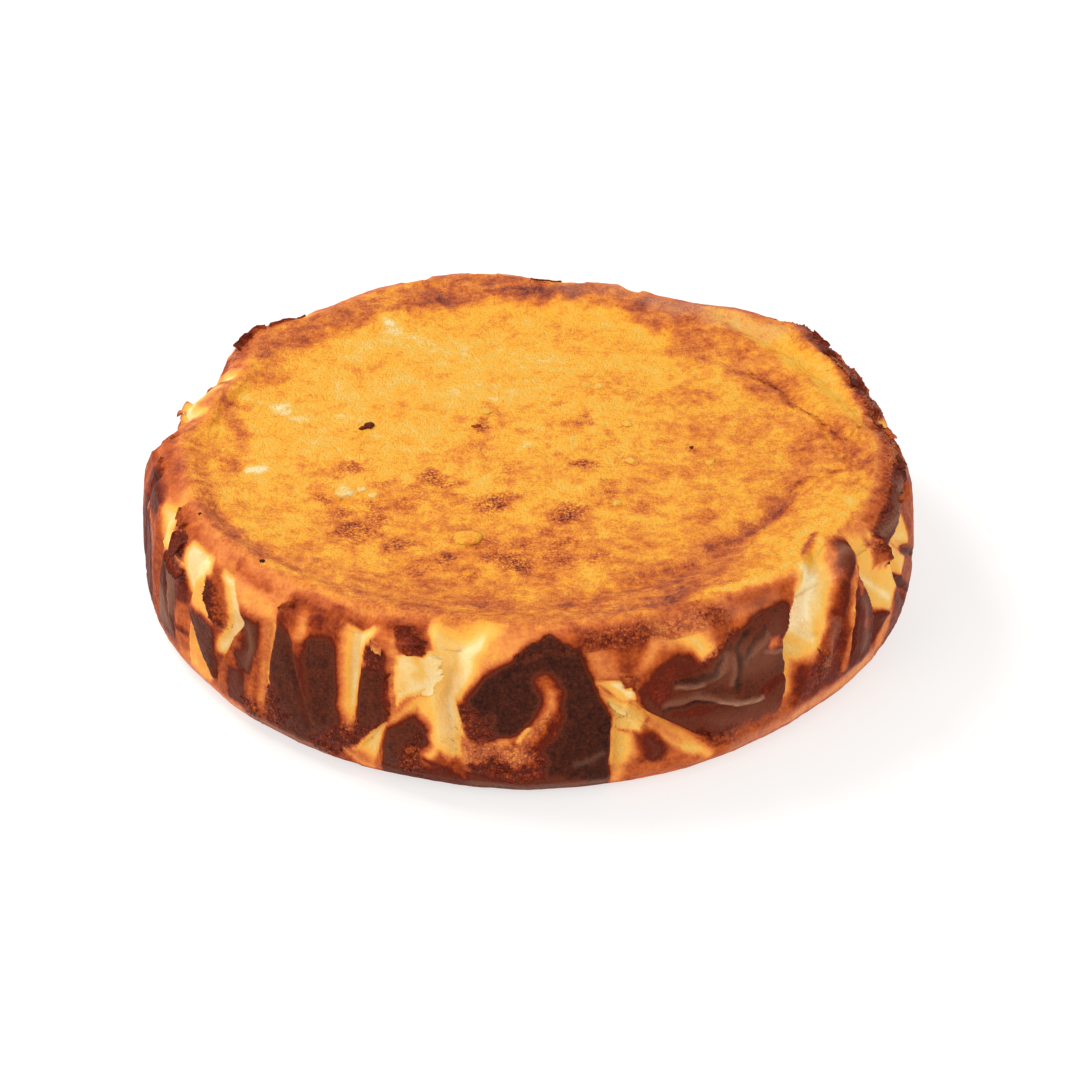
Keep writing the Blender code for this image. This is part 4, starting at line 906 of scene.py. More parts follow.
# %% List the top's dabs
TOP_DABS = [
    # the broad fields of gold and orange
    (0.35, 34, 3, [(-98, -17), (-60, -35), (-30, -49), (0, -49), (28, -31), (40, -1), (44, 35), (52, 71),
        (99, 52), (112, -1), (89, -89), (0, -112), (-84, -80)]),
    (0.25, 24, 4, [(-84, -18), (-84, 25), (-64, 64), (-28, 81), (16, 76), (18, 43), (-20, 23), (-44, -7)]),
    (0.34, 9, 3, [(-80, 50), (-92, 24), (-96, -2), (-94, -24), (-88, -46), (-76, -62)], (5, 6)),
    (0.43, 4, 2, [(-90, -16), (-88, 2), (-92, 14), (-95, 26), (-96, 40), (-88, 54)], (2.5, 2)),
    (0.48, 1.6, 2, [(-86, -3), (-90, 10), (-94, 22), (-96, 36)], (0.8, 0.8)),
    (0.44, 9, 3, [(-66, -72), (-36, -88), (0, -94), (34, -89), (58, -73)], (7, 7)),
    (0.4, 8, 4, [(-40, -76), (-10, -84), (24, -82), (50, -66)], (5, 5)),
    # the back
    (0.49, 7, 3, [(50, 80), (25, 95), (0, 99), (-25, 97), (-48, 86), (-70, 70), (-84, 54)], (7, 6)),
    (0.57, 4, 3, [(-32, 93), (-24, 88), (-18, 90)], (3.5, 2.5)),
    (0.59, 5, 3, [(-12, 98), (-2, 96), (6, 93), (14, 95)], (4, 3)),
    (0.55, 4, 3, [(34, 84), (41, 75)], (4, 3)),
    (0.33, 5, 3, [(-16, 86), (-8, 83), (14, 84)], (2, 2)),
    (0.45, 7, 3, [(46, 78), (62, 68), (75, 52), (81, 35), (76, 25), (66, 39), (56, 49), (44, 57)]),
    (0.28, 1.6, 2, [(60, 90), (80, 67), (94, 45), (104, 20), (108, 4), (101, 4), (94, 22), (84, 42),
        (70, 64), (56, 84)]),
    (0.26, 5, 2, [(78, 66), (92, 44), (98, 29)], (2.5, 2.5)),
    (0.5, 3, 2, [(62, 93), (74, 82), (84, 72), (90, 65)], (1.5, 1.5)),
    (0.56, 3, 2, [(106, 10), (108, 4), (109, -3)], (1.6, 1.6)),
    # the step at the right
    (0.43, 9, 2, [(80, 31), (88, 17), (96, -2), (99, -17), (90, -15), (82, 2), (76, 15)]),
    (0.5, 3, 1, [(60, 50), (66, 44), (72, 40)], (1.6, 1)),
    # a thin darker line under the overhanging edge of skin, a painted shadow
    (0.54, 1.2, 1, [(66, 45), (74, 38.4), (77.2, 32), (79.4, 23.6), (88, 13.8), (91.2, 7), (93.2, -1)],
        0.3),
    (0.52, 1.2, 1, [(88, -17), (92, -22), (100, -17)], 0.3),
    # the valley at the front right
    (0.46, 6, 2, [(84, -16), (78, -30), (70, -44), (58, -58), (46, -72), (30, -84), (4, -95)], (3.4, 2)),
    (0.52, 4, 2, [(73, -41), (62, -54), (52, -66), (42, -77)], (1.6, 1.4)),
    (0.58, 1.4, 1.4, [(80, -30), (73, -43), (62, -57), (50, -70), (36, -82), (18, -90)], (0.4, 0.5)),
    (0.55, 1.4, 1.4, [(76, -38), (66, -50), (56, -61), (44, -71), (30, -79)], (0.3, 0.4)),
    (0.51, 1.6, 1.4, [(18, -92), (-4, -96), (-26, -95), (-46, -89), (-62, -80)], (0.5, 0.4)),
    (0.5, 6, 2, [(44, -80), (54, -70), (60, -60)], (5, 4)),
    (0.27, 7, 2, [(100, -26), (98, -45), (84, -67), (70, -74), (80, -53), (90, -34)]),
    (0.44, 5, 2, [(97, -8), (101, -16), (104, -22)], (4, 3)),
    (0.15, 3, 2, [(46, -93), (60, -89), (75, -79)], (1.6, 2)),
    (0.1, 1.2, 0.6, [(84.8, -59.6), (81.4, -74), (84, -80), (89, -75), (87.4, -67)]),
    (0.62, 1.4, 1, [(84, -57.6), (80.6, -66), (79.2, -74)], 0.6),
    (0.45, 6, 3, [(-46, -98), (-24, -104), (4, -106), (22, -102), (40, -94), (52, -82)], (4, 5)),
    (0.52, 4, 3, [(20, -101), (32, -98), (44, -90)], (3, 3)),
    # the crease at the left front
    (0.47, 5, 2, [(-98, -25), (-94, -43), (-86, -58), (-70, -73), (-50, -88), (-28, -98)], (3, 2.2)),
    (0.54, 1.2, 1, [(-96, -37), (-92, -48), (-86, -58)], 0.3),
    (0.52, 5, 3, [(-93, -48), (-86, -58), (-78, -70)], (4, 4)),
    (0.52, 5, 3, [(52, -62), (47, -74), (38, -82)], (2.5, 2.5)),
    (0.3, 4, 2, [(-64, -93), (-44, -102), (-26, -109)], (2.5, 2)),
    # pale places where the skin stayed moist
    (0.08, 3.4, 3, [(-88, 27), (-83, 24)], (0.8, 1.2)),
    (-0.04, 3, 3, [(-80, 22.4), (-77, 20)], (2.2, 2.6)),
    (0, 3, 3, [(-73, 15.6), (-70, 14.6)], (1.6, 1.4)),
    (-0.1, 2.4, 2, [(-85, -14.6), (-82, -16)], 1.5),
    (0.06, 3, 1, [(-46, 78), (-43, 72)], 1.8),
    (0.15, 5, 3, [(-40, 42), (-33, 38)], 1.6),
    (0.1, 2, 3, [(-12.6, 31), (-10, 29.6)], 0.9),
    (0.12, 2, 3, [(-59, 16), (-52, 17)], (1, 0.5)),
    (0.14, 3, 3, [(-1.6, 12), (1.6, 10.6)], 1),
    (0.14, 3, 3, [(-2.4, -1), (1, 0.4)], 1.2),
    (0.16, 3, 3, [(-14, -5), (-11, -3.6)], 1),
    (0.12, 2, 3, [(-54, -10), (-50, -9.4)], 0.9),
    (0.18, 3, 3, [(16, -55), (19, -54)], 0.8),
    (0.15, 3, 1, [(-13, 31), (-10, 28)], 1.2),
    (0.16, 3, 1, [(-2, 1), (3, 4)], 1),
    (0.14, 3, 1, [(-51, 7), (-45, 5)], 1),
    (0.16, 3, 1, [(-30, -26), (-27, -26)], 1),
    (0.17, 3, 1, [(-21, -27), (-18, -27)], 1),
    (0.16, 4, 1, [(-25, 39), (-24, 37)], 1.4),
]

BROWN_MARKS = [
    # x, y, half width, strength
    (-28.3, -19.6, 4.5, 1), (-23.4, -21.2, 3, 0.7), (-11.2, -34.5, 6, 1), (12.8, -40.2, 5.5, 1),
    (16.1, -11.1, 4, 0.9), (-54.4, -14.5, 4.2, 0.8), (-57.7, -16.9, 3, 0.6), (-61.6, -32.4, 4, 0.6),
    (-45.8, -35.9, 5, 0.6), (-44.2, -43.3, 5, 0.8), (-50.3, -50.4, 6, 0.9), (-49.4, -58.7, 4, 0.7),
    (-38.4, -59.7, 5, 0.85), (-23.7, -67.3, 4.4, 0.7), (-17.4, -75.2, 4, 0.5), (-3.8, -69.7, 5, 0.9),
    (-9.7, -64.4, 4, 0.8), (-1.3, -58.6, 4, 0.6), (4.6, -51.8, 3.6, 0.7), (20.3, -65.6, 4.6, 0.6),
    (6, -76.3, 2.6, 0.5), (52.5, -44.1, 4, 0.4), (65.1, -50.4, 4.6, 0.3), (43.4, -57.4, 3, 0.4),
    (23.9, -30.2, 4, 0.7), (22.7, -23.6, 2.6, 0.6), (29.5, -8.5, 3.6, 0.6), (2, -21.5, 2.4, 0.6),
    (-6.4, -13.2, 5.6, 0.55), (-7.9, -19.1, 4, 0.45), (-12.9, 21.8, 4, 0.6), (-14.7, 13.6, 2.2, 0.9),
    (9.5, 26.8, 2.8, 0.5), (16.9, 15.4, 3.4, 0.7), (24.3, 4.5, 4.4, 0.5), (21.9, -1.1, 2.4, 0.5),
    (39.8, 27.9, 4, 0.35), (40.8, 2.9, 3, 0.45), (49.8, -1, 1.6, 0.8), (8.8, -3.8, 2, 0.7),
    (4.6, 5.4, 2.4, 0.5), (-22.9, 12.8, 3, 0.4), (-22.9, 0.9, 5, 0.35), (-23.9, -33.6, 6.5, 0.45),
    (-37.8, -35.9, 3.6, 0.6), (-59.7, -46.2, 3, 0.4), (-29.8, -46.8, 4, 0.3), (-4, -48.9, 3.4, 0.4),
    (19.4, 46.8, 4, 0.35), (-35.8, 2.9, 3, 0.35), (56.7, -8, 2, 0.35), (33.8, -19, 3, 0.3),
    (-7, -31, 5, 0.6), (-17, 1, 5, 0.5), (-34, -28, 5, 0.55), (-56, -40, 6, 0.6), (-33, -72, 5, 0.6),
    (-13, -58, 5, 0.6), (12, -58, 5, 0.65), (8, -66, 6, 0.6), (-20, -52, 4, 0.5), (28, -50, 5, 0.45),
    (36, -38, 5, 0.45), (-42, -24, 4, 0.5),
]
print(len(TOP_DABS), "dabs and", len(BROWN_MARKS), "brown marks on the top")

# %% [markdown]
# ## Where the crust is gritty, and where sheen is painted on
# Some edges of the dark flats aren't smooth: the paper came away there and left browned grains.
# The same dabs, with a strength in place of a tone, say where, and two more lists say where
# sheen and highlights are painted on, as a pale pinkish colour with a little more gloss. The finish
# reads those strengths, and the relief reads the grit.

# %% List the gritty places and the painted sheen
GRIT_DABS = [
    (1, 2, 1, [(225.8, 12), (227.6, 13), (229, 7), (228, 3), (225.6, 5)]),
    (1, 2, 1, [(229.6, 9), (230.4, 20), (232.4, 22), (234.8, 12), (233.4, 5)]),
    (1, 2, 1, [(237.8, 8), (241, 14), (246.2, 20), (248.9, 19.4), (245.4, 10), (242.6, 4.6), (239, 3.6)]),
    (0.8, 2, 1, [(246.8, 43.6), (249.6, 42.6), (250.2, 30), (249.2, 28), (248.6, 35), (246.6, 37)]),
    (1, 2, 1, [(253.4, 18), (255.4, 24), (256.4, 20), (255.6, 14), (255.2, 5), (252.4, 4), (252.2, 10)]),
    (1, 2, 1, [(260.2, 30.6), (262.6, 31), (265.4, 26), (265.8, 19.4), (262.8, 18), (261, 22.6)]),
    (0.9, 2.4, 1, [(260.8, 19), (266, 18), (270.6, 19), (273, 13), (272, 8.6), (268.6, 6), (262.4, 8.6)]),
    (0.6, 2, 1, [(268, 17), (271.6, 21), (273.6, 26), (273, 29), (271.6, 27), (270, 23)]),
    (0.4, 2, 1, [(250.4, 50), (253, 50), (256.2, 46.4), (255.2, 43), (252.6, 42), (251.2, 45)]),
    (0.4, 2, 1, [(250.4, 42), (251.6, 42), (252.2, 30), (251.2, 26), (250.6, 28)]),
    (0.7, 2, 1, [(259, 24), (261, 22), (261, 12), (258.8, 12)]),
    (0.9, 1.6, 1, [(268.4, 45.6), (272.4, 49.4), (277, 47), (276.6, 45.4), (272.4, 46.6), (269.4, 43.6)]),
    (0.9, 2, 1, [(282.4, 38.4), (285.2, 38), (284.8, 33), (282.6, 33)]),
    (0.8, 2, 1, [(281, 30), (285.4, 28), (287, 22), (282.6, 19)]),
    (0.8, 2, 1, [(277, 50), (284, 51), (292, 52), (300, 52), (300, 48), (286, 46.4), (278, 47)]),
    (0.9, 2, 1, [(294, 35.6), (297.4, 37), (300.9, 44.2), (300, 45), (295.6, 39)]),
    (0.6, 2, 1, [(295.4, 13), (300, 14), (300, 9), (296, 8)]),
    (1, 1.6, 1, [(205.4, 48), (209.8, 47), (209.6, 40), (207.6, 40), (205.6, 42)]),
    (1, 1.6, 1, [(204.6, 39), (211, 39.4), (210.6, 34.6), (205.4, 35)]),
    (0.8, 1.6, 1, [(216.6, 43), (219, 42.6), (222, 32), (220.8, 29), (218.2, 34)]),
    (0.7, 2, 1, [(314.4, 24), (317.6, 24), (318.6, 16), (314.8, 14)]),
    (0.8, 2, 1, [(329, 48), (334, 49), (345, 50.4), (358, 51), (358, 47), (336, 45), (331, 43)]),
    (0.9, 2, 1, [(358, 52), (20, 52.5), (42, 52.5), (42, 47), (20, 45), (358, 46)]),
    (0.7, 2, 1, [(136, 52.5), (152, 52.5), (152, 48), (136, 48)]),
]
print(len(GRIT_DABS), "gritty places")

# painted sheen and highlights on the flats, their ridges and the rim, and painted floor light at the foot
SIDE_PAINTED_SHEEN = [
    (0.2, 5, 1, [(294, 31), (300, 28), (307, 29), (307, 42), (300, 40)]),
    (0.2, 4, 1, [(296, 18), (307, 17), (308, 12), (299, 10)]),
    (0.8, 2.2, 0.4, [(289, 27), (293.4, 27.6), (296.4, 24.8), (299.6, 21.6)], (0.2, 0.5)),
    (1.7, 0.9, 0.3, [(296.8, 24), (299.6, 21.4), (304.6, 19.6)], (0.2, 0.4)),
    (1, 1.2, 0.4, [(290.6, 31.8), (293.2, 31), (294.6, 30.6)], 0.3),
    (0.8, 1.6, 0.4, [(296.4, 31), (298.2, 33.6), (298.6, 38)], 0.3),
    (0.7, 1.6, 0.4, [(299.4, 37), (299.6, 32), (299.4, 27)], 0.3),
    (0.8, 1.6, 0.4, [(301.6, 33), (303, 37), (305, 41)], 0.3),
    (1, 1.2, 0.4, [(304.8, 34.8), (307.6, 33.6)], 0.3),
    (0.4, 2, 1, [(299.6, 48.4), (304, 47.6), (309, 48), (309, 49.6), (300, 50)]),
    (0.6, 3, 0.6, [(205.8, 34), (208, 33), (206.8, 19), (205, 20), (205.4, 30)]),
    (0.4, 3, 0.6, [(201.4, 26), (203.4, 25), (206, 12), (200.4, 12)]),
    (0.5, 3, 0.6, [(190, 41.6), (195, 39), (197, 34)], 0.6),
    (0.5, 3, 0.6, [(227.4, 36), (228, 30), (226.6, 24)], 0.8),
    (0.35, 2, 0.6, [(262, 4.2), (272, 3.8), (281, 4.4)], 0.9),
    (0.4, 1.6, 0.4, [(276.4, 12), (278.4, 13.4), (279.8, 15)], 0.5),
    (0.55, 2.4, 0.6, [(317.4, 35), (317, 28), (316.6, 20)], 0.8),
    (0.5, 2, 0.6, [(322.4, 33.6), (323.2, 30.6)], 0.5),
    (0.4, 3, 0.6, [(325.4, 34), (326.4, 26), (326.8, 16)], 1.2),
    (0.7, 3, 0.6, [(300, 6), (310, 7), (320, 8), (331, 9.4)], 1.5),
    (0.6, 3, 0.6, [(200, 5), (212, 5), (226, 5), (240, 4)], 1.2),
    (0.8, 2.4, 0.8, [(333.6, 46.2), (341, 45.8), (350, 46.6)], 0.9),
    (0.6, 2.4, 1, [(319, 46), (323, 49.6), (325, 49)], 1.2),
]
# a painted highlight on the rim at the back right, and a fainter one further round the back
TOP_PAINTED_SHEEN = [
    (0.8, 4, 3, [(36, 90), (52, 89), (64, 82), (76, 74), (83, 66), (76, 62), (64, 70), (50, 79), (38, 84)]),
    (0.5, 4, 3, [(10, 97), (24, 95), (36, 92)], 2),
]
print(len(SIDE_PAINTED_SHEEN) + len(TOP_PAINTED_SHEEN), "places with a pale bloom")

# %% Paint the crust
RIM_PAINT = (105.0, 112.0)
MARK_SHAKE = 3.2
MARK_SPREAD = 2.2
BACK_PAINT_SEED = 7
SHAKE_SEED = 31.0
# the tones of the even first coat, which change at the coat line and towards the top's edge
RIM_COAT = 0.48
SIDE_COAT = 0.58
COAT_LINE = 47.5
TOP_COAT = 0.28
EDGE_COAT = 0.15


def shakes(points, seed):
    """Two noises that push the edge of a dab about, made of broad and fine lumps."""
    return [lumps(points, [(1.1, 6.0, seed + k), (0.35, 2.4, seed + k + 3)]) for k in (0, 17)]


def leaf(path, west, east, most):
    """An outline round a fold's path, with its half widths in millimetres kept under most."""
    left = [(angle - min(wide, most) / DEGREE_ARC, up) for (angle, up), wide in zip(path, west)]
    right = [(angle + min(wide, most) / DEGREE_ARC, up) for (angle, up), wide in zip(path, east)]
    return left + right[::-1]


def back_dabs(folds):
    """Dabs for the hidden side: pale hearts in gold pleats, dark flats, hooks, grit and painted highlights.
    """
    draw = random.Random(BACK_PAINT_SEED)
    between = draw.uniform
    tones, grits, painted_sheens = [], [], []
    for fold, after in zip(folds, folds[1:] + [folds[-1]]):
        (top, high_end), (waist, middle), (foot, low_end) = fold.path
        west, east = np.array(fold.west), np.array(fold.east)
        heart = [(top, high_end - 3), (waist, middle), (foot, low_end + 3)]
        tones += [
            (between(0.48, 0.6), 3.4, 1, leaf(fold.path, west + 3.4, east + 3.4, 11)),
            (between(0.26, 0.42), 2.4, 0.8, leaf(fold.path, west + 1.4, east + 1.4, 8)),
            (between(-0.02, 0.16), 1.6, 0.6, leaf(heart, west * 0.6, east * 0.6 + 0.5, 4.2)),
        ]
        side = draw.choice([-1, 1])
        shade = [(top + 2 * side, 47), (waist + 2.4 * side, middle), (foot + 1.6 * side, low_end + 2)]
        tones.append((between(0.6, 0.8), 1.8, 1, shade, (0.5, 1.4)))
        if after is fold:
            break
        start = [max(angle, waist) + min(east[1], 6) / DEGREE_ARC + 1.2 for angle in (top, waist, foot)]
        (top_2, _), (waist_2, _), (foot_2, _) = after.path
        end = [min(angle, waist_2) - min(after.west[1], 6) / DEGREE_ARC - 1.2
               for angle in (top_2, waist_2, foot_2)]
        if min(end) - max(start) < 1.5:
            continue
        peak = between(0.25, 0.75)
        crest = start[0] + (end[0] - start[0]) * peak
        flat = [
            (start[0], between(36, 43)), (crest, between(43, 47)), (end[0], between(34, 43)),
            (end[1], 27), (end[2], between(5, 12)), (crest, between(3, 7)),
            (start[2], between(6, 14)), (start[1], 27),
        ]
        low_part = [(start[1], 24), (end[1], 20), (end[2], 8), (start[2], 8)]
        tones += [(between(0.78, 0.94), 1.8, 1, flat), (between(0.66, 0.76), 9, 1, low_part)]
        bend = between(-1.5, 1.5)
        hook = [(crest, between(33, 40)), (crest + bend, 26), (crest - bend, between(13, 18))]
        if draw.random() < 0.5:
            tones += [(0.62, 3, 0.6, hook, (0.9, 2.4)), (0.42, 2, 0.6, hook, (0.3, 1.2))]
        else:
            tones.append((0.93, 1.8, 0.6, hook, (0.5, 0.9)))
            # a painted highlight along the side of the dark hook
            painted_sheens.append((0.7, 2, 0.4, [(angle + 0.9, up) for angle, up in hook], 0.4))
        corner = [(start[2], 14), (crest, 11), (crest, 4), (start[2], 4)]
        if draw.random() < 0.6:
            corner = [(end[2], 15), (crest, 10), (crest, 4), (end[2], 4)]
        tones.append((between(0.5, 0.72), 1.6, 1.6, corner))
        grits.append((1, 2, 1, corner))
    return tones, grits, painted_sheens


shake = shakes(blank_points, SHAKE_SEED)
back_tones, back_grit, back_painted_sheen = back_dabs(more_folds)
side_tone = np.where(blank_height > COAT_LINE, RIM_COAT, SIDE_COAT)
side_tone = paint_side(side_tone, blank_angle, blank_height, shake, back_tones + SIDE_DABS)
nothing = np.zeros(len(blank_angle))
grit = paint_side(nothing.copy(), blank_angle, blank_height, shake, back_grit + GRIT_DABS)
# how strongly sheen and highlights are painted on, from 0 to 1
painted_sheen = paint_side(nothing.copy(), blank_angle, blank_height, shake, back_painted_sheen + SIDE_PAINTED_SHEEN)

middle_share = np.clip(np.hypot(flat_x, flat_y) / 100, 0, 1.2)
top_tone = TOP_COAT + EDGE_COAT * smooth((middle_share - 0.82) / 0.2)
top_tone = paint_top(top_tone, flat_x, flat_y, shake, TOP_DABS)
mark = nothing
for x, y, half, strength in BROWN_MARKS:
    away = np.hypot(flat_x - x + MARK_SHAKE * shake[0], flat_y - y + MARK_SHAKE * shake[1])
    mark = np.maximum(mark, strength * (1 - smooth(away / (MARK_SPREAD * half))))

on_rim = smooth((blank_radius - RIM_PAINT[0]) / (RIM_PAINT[1] - RIM_PAINT[0]))
on_rim = np.where(blank_height < DISH_HEIGHT - 1, 1, on_rim)
tone = top_tone * (1 - on_rim) + side_tone * on_rim
mark *= 1 - on_rim
grit *= on_rim
top_painted_sheen = paint_top(nothing, flat_x, flat_y, shake, TOP_PAINTED_SHEEN)
painted_sheen = painted_sheen * on_rim + top_painted_sheen * (1 - on_rim)
print("tone runs from", round(float(tone.min()), 2), "to", round(float(tone.max()), 2))

# %% [markdown]
# ## From arrays to a mesh
# The painted values ride along as attributes, one number for each point. A material can read
# them, and unlike an image they need no unwrapping. Pale places are also sunk by a few tenths of a
# millimetre, so that the edge of a dark flat catches the light. The flats get their fine wrinkles,
# and the whole skin lies a hair deeper than the plain solid, which leaves room for its relief.

# %% Build the crust
SKIN_HEIGHT = 0.45
SKIN_ROOM = 0.35
WRINKLE_HALF = 1.3
WRINKLE_FADE = 2.5

# fine lines in the flats' skin, too fine for the plain solid, as (path, middle height)
WRINKLES = [
    ([(295.6, 26.4), (299.4, 21.6), (304.8, 19.4)], 0.9),
    ([(290.8, 31.6), (293.4, 30.6), (295.4, 30.4)], 0.7),
    ([(296.2, 30.6), (298.4, 33.4), (298.8, 38)], 0.7), ([(299.3, 38), (299.6, 32), (299.4, 27)], 0.7),
    ([(301.4, 33), (302.9, 38), (305.4, 41.8)], 0.8), ([(304.6, 35), (307.4, 33.6)], 0.7),
    ([(276.2, 11.6), (278.4, 13), (279.8, 15.2)], 0.6), ([(325, 32), (326.3, 25)], 0.5),
    ([(206.2, 33), (205.9, 24), (205.9, 15)], 0.6), ([(318, 35), (318.5, 26)], 0.6),
]
CREASES = [
    ([(301.8, 44), (300.2, 38), (300.7, 32), (300.3, 26)], 1.1), ([(304, 43), (302.4, 37), (302, 31)], 0.9),
    ([(288.6, 25), (293, 25.4), (296.4, 23.4), (299.6, 19.4)], 1.1),
    ([(290.4, 33.6), (293.6, 32.4), (296.4, 32.2)], 0.7), ([(297, 36), (297.8, 40), (299.8, 43.6)], 0.8),
    ([(303.6, 20.4), (306.4, 23.6), (309, 25.4)], 0.9), ([(293.6, 16.4), (295.4, 13), (297, 9)], 0.8),
    ([(272.6, 17), (275.4, 13.6), (279.4, 16.4)], 0.6),
    ([(234.8, 39), (235.9, 30), (237.2, 21), (238.8, 11)], 0.9),
    ([(241.6, 40), (241.4, 25), (240.6, 14)], 0.5), ([(248.4, 38), (249.2, 30), (249.6, 25)], 0.6),
    ([(203.8, 35), (204.6, 28), (205.2, 16)], 0.8), ([(207.8, 34), (207, 22), (206.9, 12)], 0.7),
    ([(317, 34), (317.6, 26), (317.8, 15)], 1), ([(192.6, 42), (194.6, 34), (195.6, 24), (195.2, 10)], 1.2),
    ([(227.2, 37), (227, 28), (225.6, 14)], 0.7),
]


def fine_lines(lines):
    """The height of the highest of the given lines at each point of the side."""
    half = (WRINKLE_HALF,) * 3
    folds = [Fold(path, (0.6 * depth, depth, 0.6 * depth), half, half) for path, depth in lines]
    return pleats(folds, blank_angle, station, WRINKLE_FADE)


skin = SKIN_HEIGHT * (smooth((side_tone - 0.35) / 0.35) - 1) * on_rim * np.cos(tilt) - SKIN_ROOM
skin += (fine_lines(WRINKLES) - fine_lines(CREASES)) * np.cos(tilt)
radius = radius + np.where(blank_radius > RIM_RADIUS, skin, 0) * (1 - foot_share) * ~under
height = np.where(on_top, height - SKIN_ROOM, height)
crust_points = np.column_stack([radius * np.cos(turn), radius * np.sin(turn), height]) * MM
outwards = np.column_stack([np.cos(tilt) * np.cos(turn), np.cos(tilt) * np.sin(turn), np.sin(tilt)])


def with_values(mesh, values):
    """Store arrays of one number a point as attributes of the mesh."""
    for name, array in values.items():
        layer = mesh.attributes.new(name, "FLOAT", "POINT")
        layer.data.foreach_set("value", np.asarray(array, np.float32))


crust_mesh = bpy.data.meshes.new("crust")
crust_mesh.from_pydata(crust_points.tolist(), [], faces)
with_values(crust_mesh, {"tone": tone, "mark": mark, "side": on_rim, "grit": grit, "painted_sheen": painted_sheen})
crust_mesh.shade_smooth()
crust = add_object("crust", crust_mesh)
print("crust mesh:", len(crust_mesh.vertices), "points")

# %% [markdown]
# ## Small helpers for node trees
# Materials and Geometry Nodes are both graphs. One helper adds a node and fills its sockets, with
# a plain value or with another node's output, so each tree below reads like a recipe.

# %% Define the helpers


def grow(tree, kind, inputs=None, **settings):
    """Add a node of a kind, with its inputs and settings."""
    made = tree.nodes.new(kind)
    for key, value in settings.items():
        setattr(made, key, value)
    give(made, inputs or {})
    return made


def sums(tree, operation, *values):
    """One Math node's output."""
    return grow(tree, "ShaderNodeMath", dict(enumerate(values)), operation=operation).outputs[0]


def chained(tree, operation, *values):
    """Any number of values joined two by two with one kind of Math node."""
    result = values[0]
    for value in values[1:]:
        result = sums(tree, operation, result, value)
    return result


def grains_of(tree, where, scale, detail=3.0, rough=0.55):
    """Noise about zero."""
    made = grow(tree, "ShaderNodeTexNoise", {
        "Vector": where, "Scale": scale, "Detail": detail, "Roughness": rough})
    return sums(tree, "SUBTRACT", made.outputs["Fac"], 0.5)


def climb(tree, value, low, high, kind="LINEAR"):
    """From 0 to 1 as the value goes from low to high."""
    limits = {"Value": value, "From Min": low, "From Max": high}
    return grow(tree, "ShaderNodeMapRange", limits, interpolation_type=kind).outputs[0]


def unrolled(tree, place, along, across):
    """A place as the way round, the way out and the height, stretched into streaks that run round
    the cake, and the plain way out."""
    parts = grow(tree, "ShaderNodeSeparateXYZ", {0: place}).outputs
    times = partial(sums, tree, "MULTIPLY")
    squares = [times(parts[axis], parts[axis]) for axis in "XY"]
    out = sums(tree, "SQRT", sums(tree, "ADD", *squares))
    around = sums(tree, "ARCTAN2", parts["X"], times(parts["Y"], -1.0))
    stretched = {"X": times(around, along), "Y": times(out, across), "Z": times(parts["Z"], across)}
    return grow(tree, "ShaderNodeCombineXYZ", stretched).outputs[0], out


def linear(red, green, blue):
    """A screen colour from 0 to 255 as the linear colour that nodes take."""
    parts = [value / 255 for value in (red, green, blue)]
    return tuple(p / 12.92 if p <= 0.04045 else ((p + 0.055) / 1.055) ** 2.4 for p in parts) + (1,)


def fill_ramp(ramp, stops):
    """Give a colour ramp its stops, as (place, colour)."""
    while len(ramp.elements) > 1:
        ramp.elements.remove(ramp.elements[-1])
    ramp.elements[0].position = stops[0][0]
    ramp.elements[0].color = stops[0][1]
    for place, colour in stops[1:]:
        ramp.elements.new(place).color = colour


# %% [markdown]
# ## The baked crust
# One material covers everything from cream to char. Browning runs through a known row of colours,
# so a colour ramp reads the painted tone. Noise of several sizes shifts the tone a little before
# the ramp, which breaks up the edges and freckles the skin, and the same noise dents the surface.

# %% Mix the crust's finish
BROWNING = [
    (0, (247, 221, 166)), (0.09, (240, 198, 118)), (0.135, (238, 187, 90)), (0.18, (239, 180, 66)),
    (0.27, (246, 171, 46)), (0.38, (230, 135, 40)), (0.5, (195, 91, 28)), (0.59, (150, 60, 20)),
    (0.66, (110, 32, 8)), (0.72, (88, 22, 5)), (0.8, (102, 42, 19)), (0.9, (72, 28, 14)), (1, (40, 13, 5)),
]

# how far the colour is mixed towards the pale pink of a painted sheen, and that pink
SHEEN_PAINT_COVER = 0.34
STREAKED_RIM = (0.070, 0.092)
FINISH_STREAKS = (14.0, 420.0)
SHEEN_PAINT_COLOUR = (212, 152, 114)


